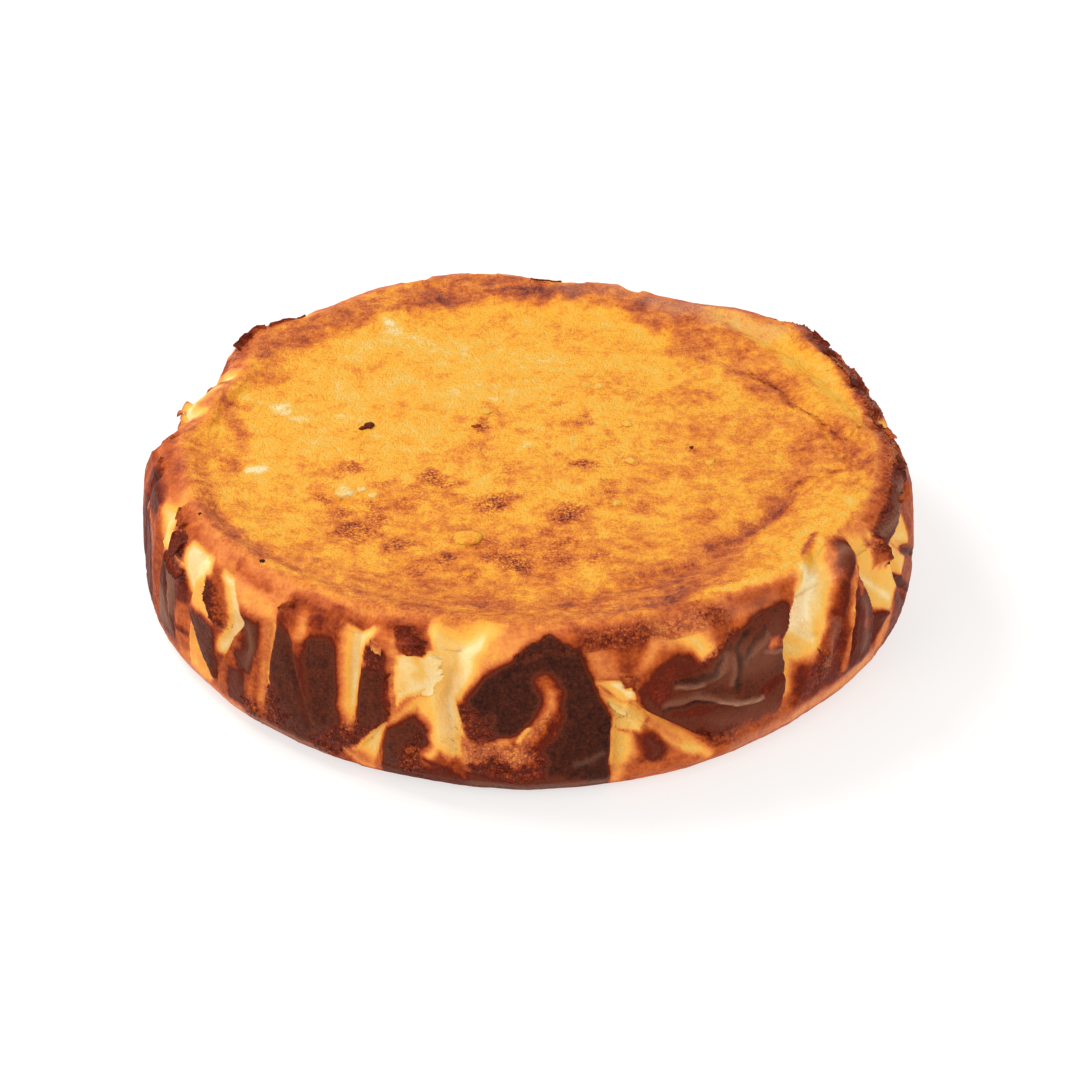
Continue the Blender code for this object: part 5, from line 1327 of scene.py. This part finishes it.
def crust_finish(name):
    """The baked surface, steered by the tone, mark, side and grit attributes and one for painted sheen."""
    material, tree, shader = tidy_material(name)
    place = grow(tree, "ShaderNodeTexCoord").outputs["Object"]
    painted = ("tone", "mark", "side", "grit", "painted_sheen")
    browned, marked, sideward, gritty, sheen_paint = (
        grow(tree, "ShaderNodeAttribute", attribute_name=value).outputs["Fac"] for value in painted)

    grain = partial(grains_of, tree, place)
    ease = partial(climb, tree, kind="SMOOTHSTEP")
    plus = partial(chained, tree, "ADD")
    times = partial(chained, tree, "MULTIPLY")
    scaled = partial(sums, tree, "MULTIPLY_ADD")
    rest = partial(sums, tree, "SUBTRACT", 1.0)

    # noises with lumps of about 14, 4, 1 and half a millimetre, and cells of about a millimetre
    broad = grain(70.0)
    middle = grain(260.0)
    fine = grain(900.0)
    finest = grain(2100.0, 1.0)
    cells = grow(tree, "ShaderNodeTexVoronoi", {"Vector": place, "Scale": 1150.0})
    gaps = ease(cells.outputs["Distance"], 0.28, 0.62)
    draw = grow(tree, "ShaderNodeSeparateColor", {0: cells.outputs["Color"]}).outputs[0]

    # circles round the cake, for the streaks that the skin has where it sank from the rim
    strip, out = unrolled(tree, place, *FINISH_STREAKS)
    streak = grains_of(tree, strip, 1.0, 3.0, 0.6)
    top_share = rest(sideward)
    ring = times(ease(out, *STREAKED_RIM), scaled(top_share, 0.75, 0.25))

    # a brown mark is a cluster of cells with darker gaps, and all the skin is mottled
    core = ease(marked, 0.15, 0.95)
    speckle = plus(times(marked, 0.12), times(core, gaps, 0.19), times(core, plus(fine, finest), 0.32))
    mottle = plus(times(broad, 0.40), times(middle, 0.42), times(fine, 0.26), times(finest, 0.14))
    mottle = times(mottle, scaled(top_share, 0.75, 0.25))
    mottle = scaled(top_share, -0.015, mottle)
    smeared = plus(browned, mottle, times(streak, ring, 0.22), speckle)

    # the side is freckled where cream turns to char, grained like leather where it is dark, and
    # sandy where it is gritty, with a tone for each cell
    turning = times(ease(browned, 0.14, 0.45), sideward)
    calm = scaled(ease(browned, 0.66, 0.84), -0.6, 1.0)
    freckled = plus(smeared, times(turning, calm, plus(times(middle, 0.10), times(fine, 0.10))))
    leathery = times(ease(browned, 0.62, 0.8), sideward, 0.15)
    freckled = plus(freckled, times(leathery, plus(fine, finest)))
    grainy = plus(scaled(draw, 0.36, 0.42), times(gaps, 0.10))
    sandy = times(gritty, turning, 0.55)
    toasted = plus(times(freckled, rest(sandy)), times(grainy, sandy))
    ramp = grow(tree, "ShaderNodeValToRGB", {"Fac": toasted})
    fill_ramp(ramp.color_ramp, [(at, linear(*colour)) for at, colour in BROWNING])
    pale_side = times(sideward, ease(browned, 0.62, 0.38))
    calmer = grow(tree, "ShaderNodeHueSaturation", {
        "Color": ramp.outputs["Color"], "Saturation": scaled(pale_side, -0.05, 1.0)})
    # the colour turns pale pink where sheen and highlights are painted on
    mix = {0: times(sheen_paint, SHEEN_PAINT_COVER), 6: calmer.outputs["Color"], 7: linear(*SHEEN_PAINT_COLOUR)}
    sheen_painted_colour = grow(tree, "ShaderNodeMix", mix, data_type="RGBA")

    # the top is a little wet, and its streaks and pits are bumps
    wet = plus(times(top_share, 0.24), times(ease(browned, 0.36, 0.56), top_share, 0.3),
               times(gritty, 0.14), times(sheen_paint, 0.4))
    rough_skin = plus(times(middle, 0.8), times(fine, 1.2), times(finest, 0.7), times(streak, ring, 0.5))
    rough_skin = times(rough_skin, scaled(top_share, 0.75, 0.45))
    pits = times(gaps, plus(times(gritty, turning, -0.45), times(core, -0.3)))
    height = plus(rough_skin, pits)
    dents = grow(tree, "ShaderNodeBump", {"Height": height, "Strength": 0.9, "Distance": 0.0009})
    give(shader, {
        "Base Color": sheen_painted_colour.outputs[2], "Roughness": scaled(fine, 0.3, 0.5), "Specular IOR Level": 0.08,
        "Subsurface Weight": 0.1, "Subsurface Radius": (1.0, 0.45, 0.15), "Subsurface Scale": 0.002,
        "Coat Weight": wet, "Coat Roughness": 0.2,
        "Normal": dents.outputs["Normal"], "Coat Normal": dents.outputs["Normal"],
    })
    return material


crust_material = crust_finish("baked_crust_finish")
crust_mesh.materials.append(crust_material)
print("the crust's finish has", len(crust_material.node_tree.nodes), "nodes")

# %% [markdown]
# ## Wrinkle the skin
# The top's skin is finely wrinkled and the rim is pebbly. Bump alone would leave the outline
# smooth, so a Geometry Nodes tree moves each point along its normal by noises for the wrinkles, the
# pebbles, the streaks near the rim and the grit. Their sizes are named inputs, easy to try out.

# %% Build and apply the skin's relief


def node_group(name, labels, kinds={}):
    """A Geometry Nodes tree with named inputs, numbers unless kinds says else, and its two end nodes."""
    tree = bpy.data.node_groups.new(name, "GeometryNodeTree")
    tree.interface.new_socket("Geometry", in_out="INPUT", socket_type="NodeSocketGeometry")
    for label in labels:
        kind = kinds.get(label, "NodeSocketFloat")
        tree.interface.new_socket(label, in_out="INPUT", socket_type=kind)
    tree.interface.new_socket("Geometry", in_out="OUTPUT", socket_type="NodeSocketGeometry")
    return tree, tree.nodes.new("NodeGroupInput"), tree.nodes.new("NodeGroupOutput")


def run_nodes(thing, tree, values):
    """Run a tree on an object with the given inputs and return the result as a plain mesh."""
    modifier = thing.modifiers.new(tree.name, "NODES")
    modifier.node_group = tree
    for item in tree.interface.items_tree:
        if item.in_out == "INPUT" and item.name in values:
            modifier[item.identifier] = values[item.name]
    graph = bpy.context.evaluated_depsgraph_get()
    mesh = bpy.data.meshes.new_from_object(thing.evaluated_get(graph))
    thing.modifiers.remove(modifier)
    return mesh


def named(tree, name):
    """The output of a stored number attribute."""
    made = grow(tree, "GeometryNodeInputNamedAttribute", {"Name": name}, data_type="FLOAT")
    return made.outputs["Attribute"]


def shifted(tree, thing, along, amount):
    """The geometry with each point moved along a direction by an amount."""
    push = grow(tree, "ShaderNodeVectorMath", {0: along, "Scale": amount}, operation="SCALE").outputs[0]
    return grow(tree, "GeometryNodeSetPosition", {"Geometry": thing, "Offset": push}).outputs["Geometry"]


relief_tree, sizes, result = node_group("skin_relief", [
    "Wrinkle size", "Wrinkle height", "Pebble size", "Pebble height", "Grit size", "Grit height",
    "Streak height",
])
node = partial(grow, relief_tree)
plus = partial(sums, relief_tree, "ADD")
times = partial(sums, relief_tree, "MULTIPLY")
place = node("GeometryNodeInputPosition").outputs[0]
normal = node("GeometryNodeInputNormal").outputs[0]
level = node("ShaderNodeSeparateXYZ", {0: place}).outputs["Z"]
RELIEF_STREAKS = (10.0, 300.0)
STILL_BASE = (0.0005, 0.004)


def lumps_of(size, detail, where=place):
    """Noise about zero with lumps of the given size."""
    return grains_of(relief_tree, where, sums(relief_tree, "DIVIDE", 1.0, size), detail, 0.5)


def relief_of(label, detail):
    """Lumps whose size and height are two inputs of the tree."""
    return times(lumps_of(sizes.outputs[label + " size"], detail), sizes.outputs[label + " height"])


strip, out = unrolled(relief_tree, place, *RELIEF_STREAKS)
on_top_share = sums(relief_tree, "SUBTRACT", 1.0, named(relief_tree, "side"))
streaks = times(lumps_of(1.0, 2.0, strip), sizes.outputs["Streak height"])
streaks = times(streaks, times(climb(relief_tree, out, *STREAKED_RIM), on_top_share))
grains = times(relief_of("Grit", 2.0), named(relief_tree, "grit"))
amount = plus(relief_of("Wrinkle", 3.0), relief_of("Pebble", 1.0))
amount = times(plus(amount, plus(streaks, grains)), climb(relief_tree, level, *STILL_BASE))
moved = shifted(relief_tree, sizes.outputs["Geometry"], normal, amount)
relief_tree.links.new(moved, result.inputs["Geometry"])

crust_mesh = run_nodes(crust, relief_tree, {
    "Wrinkle size": 0.010, "Wrinkle height": 0.0011, "Pebble size": 0.0030, "Pebble height": 0.0005,
    "Grit size": 0.0021, "Grit height": 0.0014, "Streak height": 0.0010,
})
plain_mesh = crust.data
crust.data = crust_mesh
bpy.data.meshes.remove(plain_mesh)
crust_mesh.name = "crust"
print("wrinkled crust:", len(crust_mesh.vertices), "points")

# %% [markdown]
# ## Flakes of torn skin
# Where the paper was pulled away, scraps of browned skin stand off the rim and the side, and one
# torn edge of pale crumb overhangs a fold. Paper could only be imitated with a cloth simulation;
# here each flake is a thin closed sheet between a root line and a ragged tip line, both given on
# the unrolled side, which keeps every scrap where the cake has it.

# %% Shape the flakes
Flake = namedtuple("Flake", "root tip off tone")
FLAKE_SPACING = 0.55
FLAKE_ROWS = 7
FLAKE_THICK = (0.9, 0.35)
ROOT_DEPTH = 0.7

FLAKES = [
    # root and tip as (angle, height up the crust), how far the tip stands out, tones at root and tip
    ([(250.2, 50), (251, 46.4), (252.4, 43.6)], [(253, 51.6), (255.8, 47.6), (255.4, 43)], 1.5,
        (0.62, 0.68)),
    ([(256.4, 44.4), (256.6, 38), (255, 32)], [(257.9, 43.8), (258.3, 37.6), (256.8, 31.4)], 1.1,
        (0.04, 0.08)),
    ([(250.9, 37), (250.9, 30), (251.2, 24.6)], [(249.8, 36), (249.7, 30), (250.3, 24.2)], 0.9,
        (0.5, 0.8)),
    ([(247.4, 46), (249, 44.6)], [(247.8, 42.4), (249.8, 42)], 0.7, (0.5, 0.35)),
    ([(231.8, 45), (233.6, 47.6)], [(232.6, 49.4), (234.8, 50.6)], 0.8, (0.6, 0.6)),
    ([(205.6, 47.6), (209.4, 47.4)], [(206, 41.4), (209, 40.6)], 1.3, (0.7, 0.76)),
    ([(204.6, 40), (210.6, 39.2)], [(204.8, 35.8), (210.8, 35.4)], 1, (0.55, 0.74)),
    ([(202, 52.4), (206.4, 51.4)], [(203, 48.4), (206.4, 47.4)], 1, (0.55, 0.6)),
    ([(268.6, 44), (272.6, 47.4), (275, 47)], [(268.4, 46.4), (272.4, 50.6), (275.4, 49)], 1,
        (0.92, 0.97)),
    ([(282.6, 38.6), (284.6, 38.4)], [(283, 34.8), (284.8, 34.4)], 0.9, (0.5, 0.62)),
    ([(281, 29.6), (283.6, 27.6)], [(281.8, 26), (284.6, 24.4)], 0.8, (0.14, 0.1)),
    ([(293.6, 16), (295.6, 13.6)], [(294.6, 13.4), (296.4, 11.6)], 0.9, (0.66, 0.7)),
    ([(314.4, 28.6), (316, 26.6)], [(315.2, 25), (317, 23.4)], 0.8, (0.4, 0.66)),
    ([(332.4, 48), (332.5, 38)], [(333.2, 47.6), (333.3, 37.4)], 0.5, (0.74, 0.84)),
    # along the rim's outer edge, from the left end round the back to the right end
    ([(178.6, 52.4), (182.6, 51.6)], [(178.4, 48.6), (182.4, 47.8)], 1.2, (0.3, 0.6)),
    ([(185.6, 50.6), (188.6, 49.8)], [(185.6, 48.2), (188.4, 47.4)], 0.9, (0.5, 0.62)),
    ([(166.4, 48), (169, 47.4)], [(165.8, 44), (168.8, 43.4)], 1.9, (0.12, 0.38)),
    ([(169.4, 47.6), (171.2, 47)], [(169.4, 44.2), (171.4, 43.8)], 1.4, (0.12, 0.34)),
    ([(140.8, 54.6), (145, 54)], [(140.2, 51.8), (145.6, 51)], 1.6, (0.55, 0.68)),
    ([(144.6, 54), (149, 53)], [(144.2, 50.8), (149.8, 49.2)], 2.2, (0.55, 0.76)),
    ([(133, 54.6), (139.8, 54.2)], [(133, 53), (139.8, 52.2)], 0.8, (0.55, 0.66)),
    ([(84, 55), (90, 55)], [(84.4, 57.4), (89.6, 57)], 0.9, (0.5, 0.6)),
    ([(32, 51), (37, 51.4)], [(32.2, 48.6), (36.8, 49.2)], 1.1, (0.6, 0.74)),
    ([(16.2, 50.6), (20.4, 50.6)], [(16.4, 48.2), (20.2, 48.6)], 1.2, (0.6, 0.74)),
    ([(7, 50.2), (10, 50.4)], [(7.2, 48), (10, 48.2)], 0.9, (0.55, 0.66)),
    ([(0.4, 50), (3.6, 50)], [(0.6, 47.6), (3.4, 47.8)], 1.4, (0.55, 0.5)),
    ([(352, 49.6), (355.8, 49.8)], [(352.2, 46.6), (355.4, 47)], 1.2, (0.74, 0.86)),
    ([(343.6, 48), (346, 48)], [(343.4, 44.8), (345.8, 44.6)], 0.9, (0.5, 0.55)),
]

# edges of skin on the top, as (x, y), with how much darker than the crust the root and the tip are
SKIN_EDGES = [
    ([(96, 55.6), (101.2, 44), (105.2, 33)], [(93.6, 53), (98.4, 42.2), (102.6, 31.4)], 0.5, (0, 0.1)),
    ([(108.4, 16.6), (109, 7)], [(106.2, 16), (106.8, 7.4)], 0.5, (0, 0.1)),
    ([(69.4, 46.4), (76, 40.2), (79.4, 33), (81.6, 24.8), (90, 15), (93.4, 7.6), (95.4, -1)],
        [(67.6, 44.2), (74, 38.4), (77.2, 32), (79.4, 23.6), (88, 13.8), (91.2, 7), (93.2, -1.2)], 0.3,
        (0, 0.05)),
    ([(102.4, 5.4), (97.4, -5.4), (97.4, -17.4)], [(100.2, 6.2), (95.2, -5.2), (95.2, -17.4)], 0.25,
        (0, 0.05)),
    ([(77.8, -32.8), (81.2, -26.8), (87, -24), (94.4, -20.8)], [(76.2, -31.2), (79.6, -24.8),
        (86, -22), (93.6, -18.8)], 0.25, (0, 0.05)),
    ([(65.4, -60.8), (71.2, -49.2), (79.2, -36.2)], [(63.6, -59.2), (69.4, -47.6), (77.4, -34.6)],
        0.25, (0, 0.05)),
    ([(-100.6, -27.8), (-97.2, -35.2), (-93.6, -43)], [(-98.6, -26.6), (-95.2, -34), (-91.6, -41.8)],
        0.25, (0, 0.05)),
]

crust_corners = np.empty(len(crust_mesh.vertices) * 3, np.float32)
crust_mesh.vertices.foreach_get("co", crust_corners)
crust_corners = crust_corners.reshape(-1, 3).astype(float)
HIGHEST = cad_box[1][2] - 0.1 * MM


def finder_of(chosen, across, up):
    """A search tree over some of the crust's points, by their two flat coordinates."""
    tree = kdtree.KDTree(len(chosen))
    for index in chosen:
        tree.insert((across[index], up[index], 0), int(index))
    tree.balance()
    return tree


side_finder = finder_of(np.flatnonzero((blank_radius > DISH_RADIUS) & ~under),
                        wrapped(blank_angle) * DEGREE_ARC, station)
top_finder = finder_of(np.flatnonzero(on_top), flat_x, flat_y)
upwards = np.tile((0.0, 0.0, 1.0), (len(tone), 1))


def on_crust(finder, away, across, up, off):
    """The place off millimetres above the crust at two flat coordinates, and the crust's tone."""
    near = finder.find_n((across, up, 0), 4)
    chosen = [index for _, index, _ in near]
    weights = np.array([1 / (gap + 0.05) for _, _, gap in near])
    weights /= weights.sum()
    direction = weights @ away[chosen]
    place = weights @ crust_corners[chosen] + direction / np.linalg.norm(direction) * off * MM
    place[2] = min(place[2], HIGHEST)
    return place, float(weights @ tone[chosen])


def along_path(path, share):
    """The point at a share from 0 to 1 of a path."""
    stops = np.linspace(0, 1, len(path))
    return np.array([np.interp(share, stops, values) for values in zip(*path)])


def unrolled_path(path):
    """A path of angles as millimetres along the unrolled side, from -X round by the front."""
    start = wrapped(path[0][0])
    return [((start + wrapped(angle - start)) * DEGREE_ARC, up) for angle, up in path]


def flake_parts(flake, number, on_the_top):
    """Corners, faces and tones of one flake: an upper and a lower sheet joined round the edge."""
    if on_the_top:
        root_path, tip_path, where = flake.root, flake.tip, (top_finder, upwards)
    else:
        root_path, tip_path, where = *map(unrolled_path, (flake.root, flake.tip)), (side_finder, outwards)
    run = np.hypot(*np.diff(tip_path, axis=0).T).sum()
    columns = max(6, round(run / FLAKE_SPACING))
    corners, tones = [], []
    for layer in (1, -1):
        for column in range(columns + 1):
            share = column / columns
            root, tip = along_path(root_path, share), along_path(tip_path, share)
            # noise of two sizes makes the tip line ragged, and the flake narrows at both its ends
            jag = noise.noise(Vector((share * run / 1.7, number * 7.3, 0)))
            jag += 0.8 * noise.noise(Vector((share * run / 0.7, number * 7.3, 5)))
            length = np.clip(0.84 + 0.42 * jag, 0.35, 1.12) * min(1, 0.3 + 5 * min(share, 1 - share))
            for row in range(FLAKE_ROWS + 1):
                out = row / FLAKE_ROWS
                across, up = root + (tip - root) * out * length
                dimple = 0.35 * noise.noise(Vector((share * run / 1.4, out * 3.1, number * 3.7)))
                thick = FLAKE_THICK[0] + (FLAKE_THICK[1] - FLAKE_THICK[0]) * out
                off = -ROOT_DEPTH + (flake.off + ROOT_DEPTH) * out ** 1.2 + dimple * out + layer * thick / 2
                place, under_tone = on_crust(*where, across, up, off)
                corners.append(place)
                extra = flake.tone[0] + (flake.tone[1] - flake.tone[0]) * out
                tones.append(under_tone + extra if on_the_top else extra)
    wide = FLAKE_ROWS + 1
    sheet = wide * (columns + 1)
    joined = []
    for column in range(columns):
        for row in range(FLAKE_ROWS):
            a = column * wide + row
            quad = (a, a + 1, a + wide + 1, a + wide)
            joined.append(quad)
            joined.append(tuple(sheet + corner for corner in reversed(quad)))
    edge = list(range(FLAKE_ROWS))
    edge += [column * wide + FLAKE_ROWS for column in range(columns)]
    edge += [columns * wide + row for row in range(FLAKE_ROWS, 0, -1)]
    edge += [column * wide for column in range(columns, 0, -1)]
    for start, end in zip(edge, edge[1:] + edge[:1]):
        joined.append((end, start, sheet + start, sheet + end))
    return corners, joined, tones


def piece_of(name, parts, side=0, grit=0):
    """One object from several closed parts, each (corners, faces, tones), with outward faces."""
    corners, joined, tones = [], [], []
    for part_corners, part_faces, part_tones in parts:
        joined += [tuple(len(corners) + corner for corner in face) for face in part_faces]
        corners += [tuple(corner) for corner in part_corners]
        tones += list(part_tones)
    mesh = bpy.data.meshes.new(name)
    mesh.from_pydata(corners, [], joined)
    shell = bmesh.new()
    shell.from_mesh(mesh)
    bmesh.ops.recalc_face_normals(shell, faces=shell.faces)
    shell.to_mesh(mesh)
    shell.free()
    none = np.zeros(len(corners))
    values = {"tone": tones, "mark": none, "side": none + side, "grit": none + grit, "painted_sheen": none}
    with_values(mesh, values)
    mesh.shade_smooth()
    mesh.materials.append(crust_material)
    return add_object(name, mesh)


side_parts = [flake_parts(Flake(*row), number, False) for number, row in enumerate(FLAKES)]
flakes = piece_of("crust_flakes", side_parts, side=1, grit=0.35)
top_parts = [flake_parts(Flake(*row), number, True) for number, row in enumerate(SKIN_EDGES)]
skin_edges = piece_of("skin_edges", top_parts)
print(len(FLAKES), "flakes with", len(flakes.data.polygons), "faces, and", len(SKIN_EDGES), "edges of skin")

# %% [markdown]
# ## Bubbles and burnt flecks
# A few bubbles under the top's skin dried as low pale domes, and crumbs of char lie on it. A dome
# is a lens made of rings of points, and a fleck is a lens with an uneven outline.

# %% Shape the bubbles and the flecks
Lens = namedtuple("Lens", "x y half tall uneven tone")
LENS_RINGS = 5
LENS_POINTS = 24
FIRST_FLECK = 40

BUBBLES = [
    # x, y, half width, height, unevenness, tone
    (-55.2, -27.9, 3.2, 0.7, 0.2, 0.1), (-17.9, -54.4, 4.4, 0.7, 0.15, 0.25),
    (17.7, 38.4, 1.7, 0.5, 0.2, 0.12), (21.9, 37.6, 1.8, 0.5, 0.2, 0.12),
    (30.2, 13.5, 1.8, 0.4, 0.2, 0.18), (30.9, -8.9, 1.8, 0.4, 0.2, 0.22),
    (54.7, -10.5, 1.6, 0.4, 0.2, 0.18), (-50.2, -27.1, 1.6, 0.4, 0.4, 0.14),
    (-46.7, -30.1, 1.5, 0.4, 0.4, 0.14), (-17.4, -74.8, 2, 0.6, 0.2, 0.34),
    (-14.2, 21.4, 2.2, 0.4, 0.4, 0.24), (26, -35, 1.4, 0.4, 0.4, 0.22),
]
FLECKS = [
    (-49.2, 11.6, 1.5, 1.3, 0.5, 0.8), (-51.2, 10.4, 1.1, 0.8, 0.5, 0.68),
    (-77, -74, 0.8, 0.6, 0.5, 1), (-97, -47, 0.5, 0.4, 0.5, 1),
    (-16.4, 12.6, 1.1, 0.4, 0.6, 0.6), (49.6, -1.2, 0.7, 0.4, 0.5, 0.7),
]
top_tree = bvhtree.BVHTree.FromPolygons(crust_corners.tolist(), faces)


def lens_parts(lens, number):
    """Corners, faces and tones of one lens, half sunk in the top's skin."""
    over = Vector((lens.x * MM, lens.y * MM, 1))
    middle = top_tree.ray_cast(over, Vector((0, 0, -1)))[0]
    corners = []
    for layer in (1, -1):
        corners.append(middle + Vector((0, 0, layer * lens.tall * MM * (1 if layer > 0 else 0.8))))
        for ring in range(1, LENS_RINGS + (layer > 0)):
            share = ring / LENS_RINGS
            for step in range(LENS_POINTS):
                turned = math.tau * step / LENS_POINTS
                wobble = noise.noise(Vector((2 * math.cos(turned), 2 * math.sin(turned), number * 5.1)))
                reach = lens.half * share * (1 + 2 * lens.uneven * wobble) * MM
                rise = layer * lens.tall * math.sqrt(1 - share * share) * MM
                corners.append(middle + Vector((reach * math.cos(turned), reach * math.sin(turned), rise)))
    lower = 1 + LENS_RINGS * LENS_POINTS
    loops = [[1 + ring * LENS_POINTS + step for step in range(LENS_POINTS)] for ring in range(LENS_RINGS)]
    under_loops = [[lower + 1 + ring * LENS_POINTS + step for step in range(LENS_POINTS)]
                   for ring in range(LENS_RINGS - 1)]
    loops += under_loops[::-1]
    joined = []
    for step in range(LENS_POINTS):
        after = (step + 1) % LENS_POINTS
        joined.append((0, loops[0][step], loops[0][after]))
        joined.append((lower, loops[-1][after], loops[-1][step]))
        for inner, outer in zip(loops[:-1], loops[1:]):
            joined.append((inner[step], outer[step], outer[after], inner[after]))
    return corners, joined, [lens.tone] * len(corners)


bubbles = piece_of("dried_bubbles", [lens_parts(Lens(*row), number) for number, row in enumerate(BUBBLES)])
fleck_parts = [lens_parts(Lens(*row), number) for number, row in enumerate(FLECKS, FIRST_FLECK)]
flecks = piece_of("burnt_flecks", fleck_parts, side=1, grit=0.2)
print(len(BUBBLES), "bubbles and", len(FLECKS), "flecks")

# %% [markdown]
# ## Crumbs on the gritty places
# The torn edges are covered with browned crumbs of about half a millimetre. They could be left to
# the shader, but real crumbs catch light and cast shadows. A Geometry Nodes tree scatters them
# where the grit attribute is high, and each crumb keeps the tone of the skin that it sits on.

# %% Scatter the crumbs
crumb_tree, controls, scattered = node_group(
    "crumb_scatter", ["Crumbs per square metre", "Smallest", "Largest", "Seed", "Finish"],
    {"Seed": "NodeSocketInt", "Finish": "NodeSocketMaterial"})
node = partial(grow, crumb_tree)
given = controls.outputs
often = sums(crumb_tree, "MULTIPLY", named(crumb_tree, "grit"), given["Crumbs per square metre"])
spread = node("GeometryNodeDistributePointsOnFaces", {
    "Mesh": given["Geometry"], "Density": often, "Seed": given["Seed"]})
crumb = node("GeometryNodeMeshIcoSphere", {"Radius": 1.0, "Subdivisions": 2})
lumpy = node("ShaderNodeTexNoise", {"Scale": 1.3, "Detail": 1.0})
bulge = sums(crumb_tree, "MULTIPLY_ADD", lumpy.outputs["Fac"], 1.6, -0.8)
lump_normal = node("GeometryNodeInputNormal").outputs[0]
shaped = shifted(crumb_tree, crumb.outputs["Mesh"], lump_normal, bulge)
size = node("FunctionNodeRandomValue", {
    "Min": given["Smallest"], "Max": given["Largest"], "Seed": given["Seed"]}, data_type="FLOAT")
whole_turns = (math.tau, math.tau, math.tau)
twist = node("FunctionNodeRandomValue", {1: whole_turns}, data_type="FLOAT_VECTOR")
placed = node("GeometryNodeInstanceOnPoints", {
    "Points": spread.outputs["Points"], "Instance": shaped,
    "Rotation": twist.outputs["Value"], "Scale": size.outputs[1]})
real = node("GeometryNodeRealizeInstances", {"Geometry": placed.outputs["Instances"]})
dressed = node("GeometryNodeSetMaterial", {
    "Geometry": real.outputs["Geometry"], "Material": given["Finish"]})
crumb_tree.links.new(dressed.outputs["Geometry"], scattered.inputs["Geometry"])

crumb_mesh = run_nodes(crust, crumb_tree, {
    "Crumbs per square metre": 450000.0, "Smallest": 0.00020, "Largest": 0.00042, "Seed": 5,
    "Finish": crust_material,
})
crumb_mesh.name = "crumbs"
crumb_mesh.shade_smooth()
crumbs = add_object("crumbs", crumb_mesh)
print("crumbs:", len(crumb_mesh.polygons), "faces;", [layer.name for layer in crumb_mesh.attributes])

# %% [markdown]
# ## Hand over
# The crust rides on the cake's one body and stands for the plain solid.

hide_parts("cheesecake")
for piece in (crust, flakes, skin_edges, bubbles, flecks, crumbs):
    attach(piece, "root")
